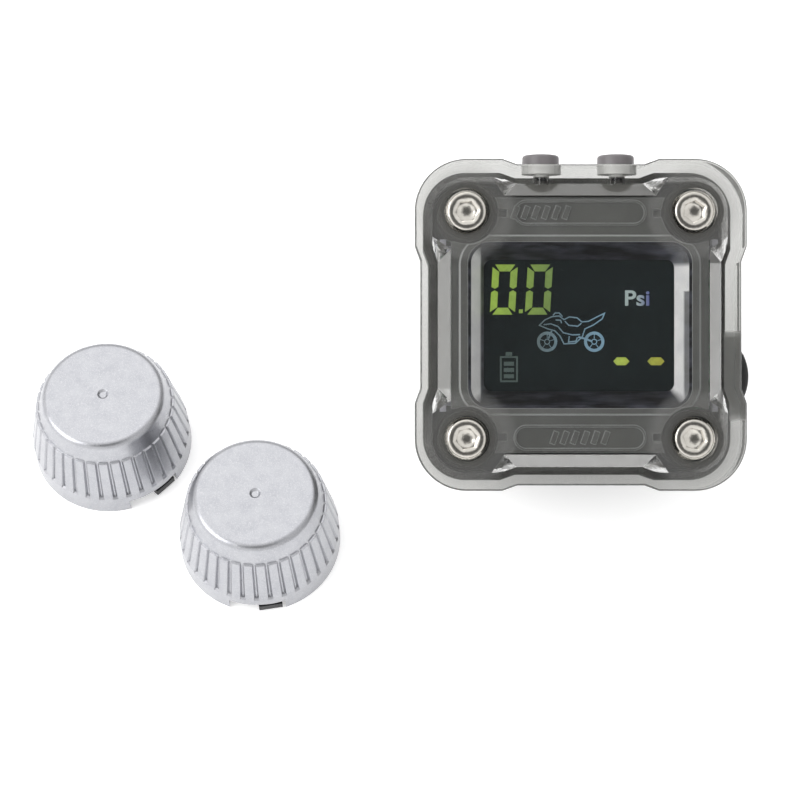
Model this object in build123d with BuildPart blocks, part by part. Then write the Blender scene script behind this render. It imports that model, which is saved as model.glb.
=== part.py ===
from build123d import *
import math
import os

# Tire pressure monitor set: a square receiver with a clear front cover, on a handlebar
# bracket with a tilt hinge, and two valve-cap sensors that stand beside it on their rims.
# The receiver is drawn in its own frame: u runs right, v runs up its face and w comes out
# of its face, with w = 0 on the back of the rear housing. Lengths are in millimetres and
# angles in degrees.

os.makedirs("parts", exist_ok=True)

# ---- Places: the origin is under the middle of the whole set, at its lowest level ----
MONITOR_X = 32.97
HINGE_Y = 13.56
HINGE_Z = 18.0
HINGE_TO_BACK = 6.0
FACE_TILT = 30.0
FRONT_SENSOR = (-21.57, -18.66)
REAR_SENSOR = (-48.77, 0.84)
REAR_SENSOR_HEADING = 37.0

# ---- Receiver case ----
CASE_SIZE = 55.0
CORNER_RADIUS = 8.65
SCREW_OFFSET = CASE_SIZE / 2 - CORNER_RADIUS
WAIST_DEPTH = 0.9
WAIST_HALF = 10.5
WAIST_END = 13.0
HOUSING_HEIGHT = 7.2
HOUSING_INSET = 1.5
HOUSING_FLOOR = 2.0
GASKET_HEIGHT = 0.8
COVER_BACK = HOUSING_HEIGHT + GASKET_HEIGHT
COVER_FRONT = 20.0
COVER_WALL = 3.0
PLATE_BACK = 18.0
COVER_EDGE_RADIUS = 0.4
BEVEL_DEPTH = 2.1
BEVEL_HALF = 12.6
BEVEL_END = 14.7
COLUMN_RADIUS = 5.0

# ---- Case screws and their threaded inserts ----
HEAD_RADIUS = 3.5
HEAD_BACK = 16.1
HEAD_FRONT = 19.7
COUNTERBORE_RADIUS = 3.8
COUNTERBORE_FLOOR = 15.8
HEX_SOCKET_RADIUS = 1.85
HEX_SOCKET_DEPTH = 2.2
SHANK_RADIUS = 2.0
SHANK_BACK = 2.4
CLEARANCE_RADIUS = 2.25
INSERT_RADIUS = 2.8
INSERT_BACK = 1.6
BOSS_RADIUS = 4.6

# ---- Display and face panel ----
PANEL_BACK = 15.4
PANEL_FRONT = 17.4
FRAME_FRONT = 17.8
PANEL_WIDE = (21.4, 13.9)
PANEL_TALL = (15.2, 21.2)
PANEL_BITE = COLUMN_RADIUS + 0.3
FRAME_SIZE = (40.2, 30.0)
FRAME_RADIUS = 5.0
BEZEL_MOUTH = (36.2, 26.6)
BEZEL_MOUTH_RADIUS = 3.0
BEZEL_FLOOR = (31.8, 22.0)
BEZEL_FLOOR_RADIUS = 1.4
TRIM_THICKNESS = 0.5
DISPLAY_SIZE = (34.0, 26.0)
DISPLAY_FRONT = 15.3
DISPLAY_THICKNESS = 1.6
BACKLIGHT_THICKNESS = 0.6
HOLDER_SIZE = (37.2, 29.2)
HOLDER_BACK = 13.0

# ---- Circuit boards and battery ----
BOARD_BACK = 11.4
BOARD_FRONT = 13.0
PORT_V = -8.25
PORT_W = 3.7
PORT_FRONT_U = 24.4

# ---- Push buttons on the top edge ----
BUTTON_U = 6.3
BUTTON_W = 14.0
BUTTON_RADIUS = 3.1
BUTTON_TOP = 28.6
BUTTON_BASE = 26.1
POCKET_RADIUS = 3.3
POCKET_FLOOR = 25.2
STEM_RADIUS = 1.3
STEM_BORE_RADIUS = 1.35
STEM_END = 22.2
SPRING_COIL_RADIUS = 2.2
SPRING_WIRE_RADIUS = 0.15
SPRING_TURNS = 4

# ---- Rubber plug over the charging port ----
PLUG_CENTRE = (21.3, -8.4)
PLUG_RADIUS = 8.6
PLUG_PIN = (27.1, -2.7)
PLUG_PIN_RADIUS = 0.5
PLUG_KNUCKLE_RADIUS = 1.05
PLUG_INSIDE = 25.3
PLUG_BACK = 0.8
PLUG_FRONT = 6.6

# ---- Handlebar bracket ----
BAR_RADIUS = 11.1
BAR_ARC_HALF = 60.0
PAD_THICKNESS = 1.5
BASE_LENGTH = 36.0
BASE_WIDTH = 29.0
BASE_HEIGHT = 9.05
EAR_INSIDE = 5.1
EAR_OUTSIDE = 8.9
EAR_RADIUS = 3.6
KNUCKLE_HALF = 4.9
KNUCKLE_RADIUS = 3.4
BOLT_RADIUS = 1.95
BOLT_BORE_RADIUS = 2.0
BRACKET_PLATE = (28.0, 22.0, 1.6)

# ---- Valve-cap sensors ----
SENSOR_HEIGHT = 17.3
SENSOR_RADIUS = 14.1
RIM_HEIGHT = 4.3
RIM_TOP_RADIUS = 13.95
RIB_TOP = 13.7
RIB_TOP_RADIUS = 12.15
SHOULDER_RADIUS = 11.75
CROWN_RADIUS = 10.5
CROWN_FILLET = 1.3
RIB_COUNT = 36
SENSOR_BORE_RADIUS = 11.6
SENSOR_CEILING = 15.7
NOTCH_WIDTH = 9.74
NOTCH_HEIGHT = 2.5
BASE_RADIUS = 11.3
LUG_ANGLE = 9.5
LUG_SIZE = (2.9, 4.1, 1.4)
VALVE_RADIUS = 3.65
VALVE_INSERT_LENGTH = 6.6


# ---- Frames ----
tilt = math.radians(FACE_TILT)
ACROSS = Vector(1, 0, 0)
UP_FACE = Vector(0, math.cos(tilt), math.sin(tilt))
OUT = Vector(0, -math.sin(tilt), math.cos(tilt))
HINGE = Vector(MONITOR_X, HINGE_Y, HINGE_Z)
MONITOR = Plane(origin=HINGE + OUT * HINGE_TO_BACK, x_dir=ACROSS, z_dir=OUT)
FACE_AXIS = Axis(MONITOR.origin, OUT)
TWO_BUTTONS = (("left", -BUTTON_U), ("right", BUTTON_U))


def level(height):
    """The plane parallel to the receiver's face at this height above its back."""
    return MONITOR.offset(height)


def spot(u, v, w):
    """A point of the receiver's own frame, in the row frame."""
    return MONITOR.from_local_coords((u, v, w))


def plane_up(u, v, w):
    """A plane that looks along +v, with +u to its right."""
    return Plane(origin=spot(u, v, w), x_dir=ACROSS, z_dir=UP_FACE)


def plane_across(u):
    """A plane that looks along +u; its own x is v and its own y is w."""
    return Plane(origin=spot(u, 0, 0), x_dir=UP_FACE, z_dir=ACROSS)


def waisted_square(side, waist, waist_half, waist_end):
    """A square with corners round the screws and sides drawn in to a shallower waist."""
    with BuildSketch(Plane.XY) as outline:
        with BuildLine():
            Polyline((waist, 0), (waist, waist_half), (side, waist_end), (side, SCREW_OFFSET))
            CenterArc((SCREW_OFFSET, SCREW_OFFSET), side - SCREW_OFFSET, 0, 90)
            Polyline((SCREW_OFFSET, side), (waist_end, side), (waist_half, waist), (0, waist))
            mirror(about=Plane.XZ)
            mirror(about=Plane.YZ)
        make_face()
    return outline.sketch


def case_outline(inset):
    """The case's outer line, moved in by inset."""
    side = CASE_SIZE / 2 - inset
    return waisted_square(side, side - WAIST_DEPTH, WAIST_HALF, WAIST_END)


def plus_outline(wide, tall, bite):
    """Two crossed rectangles, given as half sizes, cut round the four screw columns."""
    with BuildSketch(Plane.XY) as outline:
        Rectangle(2 * wide[0], 2 * wide[1])
        Rectangle(2 * tall[0], 2 * tall[1])
        with GridLocations(2 * SCREW_OFFSET, 2 * SCREW_OFFSET, 2, 2):
            Circle(bite, mode=Mode.SUBTRACT)
    return outline.sketch


def bezel_cone(grow):
    """The tapered space inside the bezel, from the display to the frame, grown sideways."""
    with BuildPart() as cone:
        with BuildSketch(level(PANEL_BACK)):
            RectangleRounded(BEZEL_FLOOR[0] + 2 * grow, BEZEL_FLOOR[1] + 2 * grow, BEZEL_FLOOR_RADIUS + grow)
        with BuildSketch(level(FRAME_FRONT)):
            RectangleRounded(BEZEL_MOUTH[0] + 2 * grow, BEZEL_MOUTH[1] + 2 * grow, BEZEL_MOUTH_RADIUS + grow)
        loft()
    return cone.part


# ======== Receiver case ========

with BuildPart() as front_cover:
    with BuildSketch(level(COVER_BACK)):
        add(case_outline(0))
    extrude(amount=COVER_FRONT - COVER_BACK)
    fillet(front_cover.edges().group_by(FACE_AXIS)[-1], COVER_EDGE_RADIUS)
    # The hollow, then its ceiling, whose four mid-sides come in at 45 degrees.
    with BuildSketch(level(COVER_BACK)):
        add(case_outline(COVER_WALL))
    extrude(amount=PLATE_BACK - BEVEL_DEPTH - COVER_BACK, mode=Mode.SUBTRACT)
    inner_side = CASE_SIZE / 2 - COVER_WALL
    with BuildSketch(level(PLATE_BACK - BEVEL_DEPTH)):
        add(case_outline(COVER_WALL))
    with BuildSketch(level(PLATE_BACK)):
        add(waisted_square(inner_side, inner_side - WAIST_DEPTH - BEVEL_DEPTH, BEVEL_HALF, BEVEL_END))
    loft(ruled=True, mode=Mode.SUBTRACT)
    # Columns for the screws, with a counterbore and a through hole each.
    with BuildSketch(level(COVER_BACK)):
        with GridLocations(2 * SCREW_OFFSET, 2 * SCREW_OFFSET, 2, 2):
            Circle(COLUMN_RADIUS)
    extrude(amount=PLATE_BACK - COVER_BACK)
    with BuildSketch(level(COUNTERBORE_FLOOR)):
        with GridLocations(2 * SCREW_OFFSET, 2 * SCREW_OFFSET, 2, 2):
            Circle(COUNTERBORE_RADIUS)
    extrude(amount=COVER_FRONT - COUNTERBORE_FLOOR, mode=Mode.SUBTRACT)
    with BuildSketch(level(COVER_BACK)):
        with GridLocations(2 * SCREW_OFFSET, 2 * SCREW_OFFSET, 2, 2):
            Circle(CLEARANCE_RADIUS)
    extrude(amount=COVER_FRONT - COVER_BACK, mode=Mode.SUBTRACT)
    # A pocket and a stem bore for each push button.
    with BuildSketch(plane_up(0, POCKET_FLOOR, BUTTON_W)):
        with GridLocations(2 * BUTTON_U, 0, 2, 1):
            Circle(POCKET_RADIUS)
    extrude(amount=CASE_SIZE / 2 - POCKET_FLOOR, mode=Mode.SUBTRACT)
    with BuildSketch(plane_up(0, inner_side - 2 * WAIST_DEPTH, BUTTON_W)):
        with GridLocations(2 * BUTTON_U, 0, 2, 1):
            Circle(STEM_BORE_RADIUS)
    extrude(amount=COVER_WALL, mode=Mode.SUBTRACT)
front_cover.part.label = "front_cover"
export_step(front_cover.part, "parts/front_cover.step")

GASKET_OUTSIDE = 1.8
GASKET_INSIDE = 2.8
with BuildPart() as cover_gasket:
    with BuildSketch(level(HOUSING_HEIGHT)):
        add(case_outline(GASKET_OUTSIDE))
        add(case_outline(GASKET_INSIDE), mode=Mode.SUBTRACT)
    extrude(amount=GASKET_HEIGHT)
cover_gasket.part.label = "cover_gasket"
export_step(cover_gasket.part, "parts/cover_gasket.step")

BACK_EDGE_RADIUS = 1.0
PLATE_SCREW_PITCH = (21.0, 14.0)
PLATE_SCREW_BORE = 1.05
PLATE_SCREW_BOSS = (2.2, 4.4)
PORT_WINDOW = (8.2, 3.4)
CHARGE_POSTS = ((18.0, -13.2), (18.0, -3.3))
CHARGE_POST_RADIUS = 1.0
CHARGE_BOARD_BACK = 5.1
BOSS_SKIN = 0.6
LUG_BANDS = ((0.7, 1.7), (5.7, 6.7))
LUG_REACH = 2.6
with BuildPart() as rear_housing:
    with BuildSketch(level(0)):
        add(case_outline(HOUSING_INSET))
    extrude(amount=HOUSING_HEIGHT)
    fillet(rear_housing.edges().group_by(FACE_AXIS)[0], BACK_EDGE_RADIUS)
    with BuildSketch(level(HOUSING_FLOOR)):
        add(case_outline(COVER_WALL))
    extrude(amount=HOUSING_HEIGHT - HOUSING_FLOOR, mode=Mode.SUBTRACT)
    with BuildSketch(level(HOUSING_FLOOR)):
        with GridLocations(2 * SCREW_OFFSET, 2 * SCREW_OFFSET, 2, 2):
            Circle(BOSS_RADIUS)
    extrude(amount=HOUSING_HEIGHT - HOUSING_FLOOR)
    with BuildSketch(level(INSERT_BACK)):
        with GridLocations(2 * SCREW_OFFSET, 2 * SCREW_OFFSET, 2, 2):
            Circle(INSERT_RADIUS)
    extrude(amount=HOUSING_HEIGHT - INSERT_BACK, mode=Mode.SUBTRACT)
    # Bosses for the bracket screws, and posts under the charging board.
    with BuildSketch(level(HOUSING_FLOOR)):
        with GridLocations(*PLATE_SCREW_PITCH, 2, 2):
            Circle(PLATE_SCREW_BOSS[0])
    extrude(amount=PLATE_SCREW_BOSS[1] - HOUSING_FLOOR)
    with BuildSketch(level(0)):
        with GridLocations(*PLATE_SCREW_PITCH, 2, 2):
            Circle(PLATE_SCREW_BORE)
    extrude(amount=PLATE_SCREW_BOSS[1] - BOSS_SKIN, mode=Mode.SUBTRACT)
    with BuildSketch(level(HOUSING_FLOOR)):
        with Locations(*CHARGE_POSTS):
            Circle(CHARGE_POST_RADIUS)
    extrude(amount=CHARGE_BOARD_BACK - HOUSING_FLOOR)
    # The charging port's window, and the two lugs that hold the plug's pin.
    with BuildSketch(plane_across(CASE_SIZE / 2 - COVER_WALL - 2 * WAIST_DEPTH)):
        with Locations((PORT_V, PORT_W)):
            Rectangle(*PORT_WINDOW)
    extrude(amount=2 * COVER_WALL, mode=Mode.SUBTRACT)
    for band_back, band_front in LUG_BANDS:
        with BuildSketch(level(band_back)):
            with Locations(PLUG_PIN):
                Circle(PLUG_KNUCKLE_RADIUS)
            with Locations((PLUG_PIN[0] - LUG_REACH / 2, PLUG_PIN[1])):
                Rectangle(LUG_REACH, 2 * PLUG_KNUCKLE_RADIUS)
            with Locations(PLUG_PIN):
                Circle(PLUG_PIN_RADIUS, mode=Mode.SUBTRACT)
        extrude(amount=band_front - band_back)
rear_housing.part.label = "rear_housing"
export_step(rear_housing.part, "parts/rear_housing.step")

with BuildPart() as case_screws:
    with BuildSketch(level(SHANK_BACK)):
        with GridLocations(2 * SCREW_OFFSET, 2 * SCREW_OFFSET, 2, 2):
            Circle(SHANK_RADIUS)
    extrude(amount=HEAD_BACK - SHANK_BACK)
    with BuildSketch(level(HEAD_BACK)):
        with GridLocations(2 * SCREW_OFFSET, 2 * SCREW_OFFSET, 2, 2):
            Circle(HEAD_RADIUS)
    extrude(amount=HEAD_FRONT - HEAD_BACK)
    fillet(case_screws.edges().group_by(FACE_AXIS)[-1], 0.7)
    with BuildSketch(level(HEAD_FRONT - HEX_SOCKET_DEPTH)):
        with GridLocations(2 * SCREW_OFFSET, 2 * SCREW_OFFSET, 2, 2):
            RegularPolygon(HEX_SOCKET_RADIUS, 6)
    extrude(amount=HEX_SOCKET_DEPTH, mode=Mode.SUBTRACT)
case_screws.part.label = "case_screws"
export_step(case_screws.part, "parts/case_screws.step")

with BuildPart() as screw_washers:
    with BuildSketch(level(COUNTERBORE_FLOOR)):
        with GridLocations(2 * SCREW_OFFSET, 2 * SCREW_OFFSET, 2, 2):
            Circle(HEAD_RADIUS + 0.1)
            Circle(CLEARANCE_RADIUS, mode=Mode.SUBTRACT)
    extrude(amount=HEAD_BACK - COUNTERBORE_FLOOR)
screw_washers.part.label = "screw_washers"
export_step(screw_washers.part, "parts/screw_washers.step")

with BuildPart() as thread_inserts:
    with BuildSketch(level(INSERT_BACK)):
        with GridLocations(2 * SCREW_OFFSET, 2 * SCREW_OFFSET, 2, 2):
            Circle(INSERT_RADIUS)
            Circle(SHANK_RADIUS, mode=Mode.SUBTRACT)
    extrude(amount=HOUSING_HEIGHT - INSERT_BACK)
thread_inserts.part.label = "thread_inserts"
export_step(thread_inserts.part, "parts/thread_inserts.step")


# ======== Face panel and display ========

EMBOSS_SIZE = (22.0, 4.2)
EMBOSS_V = 18.7
EMBOSS_HEIGHT = 0.25
EMBOSS_RIM = 0.35
TREAD_BAR = (0.9, 2.2)
TREAD_BARS = 6
TREAD_PITCH = 1.7
TREAD_LEAN = -20
TOP_TREAD_SPAN = (-6.5, EMBOSS_V)
SLOT_PITCH = (26.4, 37.2)
SLOT_SIZE = (2.1, 1.3)
SLOT_DEPTH = 1.2
FRAME_CHAMFER = 0.25
TRIM_GAP = 0.05
BOARD_SCREW_PITCH = (40.8, 17.0)
BOARD_SCREW_RADIUS = 0.8
BOARD_POST_RADIUS = 1.4
panel_opening = bezel_cone(TRIM_THICKNESS + TRIM_GAP)
trim_outside = bezel_cone(TRIM_THICKNESS)
trim_inside = bezel_cone(0)
with BuildPart() as face_panel:
    with BuildSketch(level(PANEL_BACK)):
        add(plus_outline(PANEL_WIDE, PANEL_TALL, PANEL_BITE))
    extrude(amount=PANEL_FRONT - PANEL_BACK)
    with BuildSketch(level(PANEL_FRONT)):
        RectangleRounded(*FRAME_SIZE, FRAME_RADIUS)
        with GridLocations(2 * SCREW_OFFSET, 2 * SCREW_OFFSET, 2, 2):
            Circle(PANEL_BITE, mode=Mode.SUBTRACT)
    extrude(amount=FRAME_FRONT - PANEL_FRONT)
    chamfer(face_panel.edges().group_by(FACE_AXIS)[-1], FRAME_CHAMFER)
    # Raised oblong rims with a row of slanted tread bars in each.
    with BuildSketch(level(PANEL_FRONT)):
        with GridLocations(0, 2 * EMBOSS_V, 1, 2):
            SlotOverall(*EMBOSS_SIZE)
            SlotOverall(EMBOSS_SIZE[0] - 2 * EMBOSS_RIM, EMBOSS_SIZE[1] - 2 * EMBOSS_RIM, mode=Mode.SUBTRACT)
        with Locations(TOP_TREAD_SPAN, (0, -EMBOSS_V)):
            with GridLocations(TREAD_PITCH, 0, TREAD_BARS, 1):
                Rectangle(*TREAD_BAR, rotation=TREAD_LEAN)
    extrude(amount=EMBOSS_HEIGHT)
    with BuildSketch(level(PANEL_FRONT - SLOT_DEPTH)):
        with GridLocations(*SLOT_PITCH, 2, 2):
            Rectangle(*SLOT_SIZE)
    extrude(amount=SLOT_DEPTH, mode=Mode.SUBTRACT)
    # Posts that the main board is screwed to.
    with BuildSketch(level(BOARD_FRONT)):
        with GridLocations(*BOARD_SCREW_PITCH, 2, 2):
            Circle(BOARD_POST_RADIUS)
    extrude(amount=PANEL_BACK - BOARD_FRONT)
    with BuildSketch(level(BOARD_FRONT)):
        with GridLocations(*BOARD_SCREW_PITCH, 2, 2):
            Circle(BOARD_SCREW_RADIUS)
    extrude(amount=PANEL_BACK - BOARD_FRONT, mode=Mode.SUBTRACT)
    add(panel_opening, mode=Mode.SUBTRACT)
face_panel.part.label = "face_panel"
export_step(face_panel.part, "parts/face_panel.step")

with BuildPart() as display_trim:
    add(trim_outside)
    add(trim_inside, mode=Mode.SUBTRACT)
display_trim.part.label = "display_trim"
export_step(display_trim.part, "parts/display_trim.step")

with BuildPart() as display_panel:
    with BuildSketch(level(DISPLAY_FRONT - DISPLAY_THICKNESS)):
        Rectangle(*DISPLAY_SIZE)
    extrude(amount=DISPLAY_THICKNESS)
display_panel.part.label = "display_panel"
export_step(display_panel.part, "parts/display_panel.step")

with BuildPart() as display_backlight:
    with BuildSketch(level(DISPLAY_FRONT - DISPLAY_THICKNESS - BACKLIGHT_THICKNESS)):
        Rectangle(*DISPLAY_SIZE)
    extrude(amount=BACKLIGHT_THICKNESS)
display_backlight.part.label = "display_backlight"
export_step(display_backlight.part, "parts/display_backlight.step")

ARM_V = 12.3
ARM_HALF_LENGTH = 23.2
ARM_WIDTH = 2.2
TAB_SIZE = (1.0, 2.4)
TAB_V = 13.2
TAB_TOP = 15.6
ARM_THICKNESS = 1.0
HOLDER_GAP = 0.1
with BuildPart() as display_holder:
    with BuildSketch(level(HOLDER_BACK)):
        Rectangle(*HOLDER_SIZE)
        Rectangle(DISPLAY_SIZE[0] + 2 * HOLDER_GAP, DISPLAY_SIZE[1] + 2 * HOLDER_GAP, mode=Mode.SUBTRACT)
        with GridLocations(2 * SCREW_OFFSET, 2 * SCREW_OFFSET, 2, 2):
            Circle(PANEL_BITE, mode=Mode.SUBTRACT)
    extrude(amount=DISPLAY_FRONT - HOLDER_BACK)
    # Four clips reach out past the face panel's edges.
    arm_length = ARM_HALF_LENGTH - HOLDER_SIZE[0] / 2
    with BuildSketch(level(HOLDER_BACK)):
        with GridLocations(2 * ARM_HALF_LENGTH - arm_length, 2 * ARM_V, 2, 2):
            Rectangle(arm_length, ARM_WIDTH)
    extrude(amount=ARM_THICKNESS)
    with BuildSketch(level(HOLDER_BACK)):
        with GridLocations(2 * ARM_HALF_LENGTH - TAB_SIZE[0], 2 * TAB_V, 2, 2):
            Rectangle(*TAB_SIZE)
    extrude(amount=TAB_TOP - HOLDER_BACK)
display_holder.part.label = "display_holder"
export_step(display_holder.part, "parts/display_holder.step")


# ======== Electronics ========

BOARD_WIDE = (22.6, 12.9)
BOARD_TALL = (12.9, 20.9)
BOARD_BITE = COLUMN_RADIUS + 0.4
with BuildPart() as main_board:
    with BuildSketch(level(BOARD_BACK)):
        add(plus_outline(BOARD_WIDE, BOARD_TALL, BOARD_BITE))
        with GridLocations(*BOARD_SCREW_PITCH, 2, 2):
            Circle(BOARD_SCREW_RADIUS + 0.1, mode=Mode.SUBTRACT)
    extrude(amount=BOARD_FRONT - BOARD_BACK)
main_board.part.label = "main_board"
export_step(main_board.part, "parts/main_board.step")

BOARD_SCREW_HEAD = (1.5, 1.0)
BOARD_SCREW_LENGTH = 3.6
CROSS_SLOT = (1.8, 0.4, 0.5)
with BuildPart() as board_screws:
    with BuildSketch(level(BOARD_BACK)):
        with GridLocations(*BOARD_SCREW_PITCH, 2, 2):
            Circle(BOARD_SCREW_RADIUS)
    extrude(amount=BOARD_SCREW_LENGTH)
    with BuildSketch(level(BOARD_BACK)):
        with GridLocations(*BOARD_SCREW_PITCH, 2, 2):
            Circle(BOARD_SCREW_HEAD[0])
    extrude(amount=-BOARD_SCREW_HEAD[1])
    with BuildSketch(level(BOARD_BACK - BOARD_SCREW_HEAD[1])):
        with GridLocations(*BOARD_SCREW_PITCH, 2, 2):
            Rectangle(CROSS_SLOT[0], CROSS_SLOT[1])
            Rectangle(CROSS_SLOT[1], CROSS_SLOT[0])
    extrude(amount=CROSS_SLOT[2], mode=Mode.SUBTRACT)
board_screws.part.label = "board_screws"
export_step(board_screws.part, "parts/board_screws.step")

CONTROL_CHIP_PLACE = (6.0, 2.0)
CONTROL_CHIP_SIZE = (7.0, 7.0, 1.0)
with BuildPart() as control_chip:
    with BuildSketch(level(BOARD_BACK)):
        with Locations(CONTROL_CHIP_PLACE):
            Rectangle(CONTROL_CHIP_SIZE[0], CONTROL_CHIP_SIZE[1])
    extrude(amount=-CONTROL_CHIP_SIZE[2])
    chamfer(control_chip.edges().group_by(FACE_AXIS)[0], 0.15)
control_chip.part.label = "control_chip"
export_step(control_chip.part, "parts/control_chip.step")

RF_MODULE_PLACE = (-9.0, 2.0)
RF_MODULE_SIZE = (11.0, 9.0, 1.8)
with BuildPart() as rf_module:
    with BuildSketch(level(BOARD_BACK)):
        with Locations(RF_MODULE_PLACE):
            RectangleRounded(RF_MODULE_SIZE[0], RF_MODULE_SIZE[1], 0.6)
    extrude(amount=-RF_MODULE_SIZE[2])
    fillet(rf_module.edges().group_by(FACE_AXIS)[0], 0.25)
rf_module.part.label = "rf_module"
export_step(rf_module.part, "parts/rf_module.step")

ANTENNA_RADIUS = 1.0
ANTENNA_LENGTH = 9.0
ANTENNA_TURNS = 7
ANTENNA_PITCH = ANTENNA_LENGTH / ANTENNA_TURNS
ANTENNA_WIRE = 0.25
ANTENNA_START = (-4.5, 17.0)
ANTENNA_GAP = 0.05
with BuildPart() as antenna_coil:
    coil_centre = spot(*ANTENNA_START, BOARD_BACK - ANTENNA_RADIUS - ANTENNA_WIRE - ANTENNA_GAP)
    with BuildLine() as antenna_path:
        Helix(ANTENNA_PITCH, ANTENNA_LENGTH, ANTENNA_RADIUS, center=coil_centre, direction=ACROSS)
    with BuildSketch(Plane(origin=antenna_path.line @ 0, z_dir=antenna_path.line % 0)):
        Circle(ANTENNA_WIRE)
    sweep(is_frenet=True)
antenna_coil.part.label = "antenna_coil"
export_step(antenna_coil.part, "parts/antenna_coil.step")

BUZZER_PLACE = (4.0, -15.8)
BUZZER_RADIUS = 4.5
BUZZER_HEIGHT = 3.2
SOUND_HOLE = (0.8, 0.8)
with BuildPart() as buzzer:
    with BuildSketch(level(BOARD_BACK)):
        with Locations(BUZZER_PLACE):
            Circle(BUZZER_RADIUS)
    extrude(amount=-BUZZER_HEIGHT)
    fillet(buzzer.edges().group_by(FACE_AXIS)[0], 0.4)
    with BuildSketch(level(BOARD_BACK - BUZZER_HEIGHT)):
        with Locations(BUZZER_PLACE):
            Circle(SOUND_HOLE[0])
    extrude(amount=SOUND_HOLE[1], mode=Mode.SUBTRACT)
buzzer.part.label = "buzzer"
export_step(buzzer.part, "parts/buzzer.step")

CHARGE_BOARD_SIZE = (7.8, 11.6, 1.0)
CHARGE_BOARD_U = 19.6
with BuildPart() as charge_board:
    with BuildSketch(level(CHARGE_BOARD_BACK)):
        with Locations((CHARGE_BOARD_U, PORT_V)):
            Rectangle(CHARGE_BOARD_SIZE[0], CHARGE_BOARD_SIZE[1])
    extrude(amount=CHARGE_BOARD_SIZE[2])
charge_board.part.label = "charge_board"
export_step(charge_board.part, "parts/charge_board.step")

PORT_SHELL = (7.6, 2.8)
PORT_OPENING = (7.0, 2.2)
PORT_DEPTH = 5.0
PORT_BACK_WALL = 1.0
PORT_TONGUE = (5.0, 0.6)
PORT_TONGUE_LIFT = 0.25
with BuildPart() as usb_port:
    with BuildSketch(plane_across(PORT_FRONT_U)):
        with Locations((PORT_V, PORT_W)):
            RectangleRounded(*PORT_SHELL, 0.6)
    extrude(amount=-PORT_DEPTH)
    with BuildSketch(plane_across(PORT_FRONT_U)):
        with Locations((PORT_V, PORT_W)):
            RectangleRounded(*PORT_OPENING, 0.4)
    extrude(amount=PORT_BACK_WALL - PORT_DEPTH, mode=Mode.SUBTRACT)
    # The contact tongue in the middle of the socket.
    with BuildSketch(plane_across(PORT_FRONT_U - PORT_DEPTH + PORT_BACK_WALL)):
        with Locations((PORT_V, PORT_W + PORT_TONGUE_LIFT)):
            Rectangle(*PORT_TONGUE)
    extrude(amount=PORT_DEPTH - 2 * PORT_BACK_WALL)
usb_port.part.label = "usb_port"
export_step(usb_port.part, "parts/usb_port.step")

BATTERY_SIZE = (30.0, 21.0, 4.0)
BATTERY_U = -3.0
with BuildPart() as battery:
    with BuildSketch(level(PLATE_SCREW_BOSS[1])):
        with Locations((BATTERY_U, 0.0)):
            RectangleRounded(BATTERY_SIZE[0], BATTERY_SIZE[1], 1.2)
    extrude(amount=BATTERY_SIZE[2])
    fillet(battery.edges().filter_by(FACE_AXIS, reverse=True), 0.8)
battery.part.label = "battery"
export_step(battery.part, "parts/battery.step")


# ======== Push buttons, one each side of the middle ========

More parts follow.
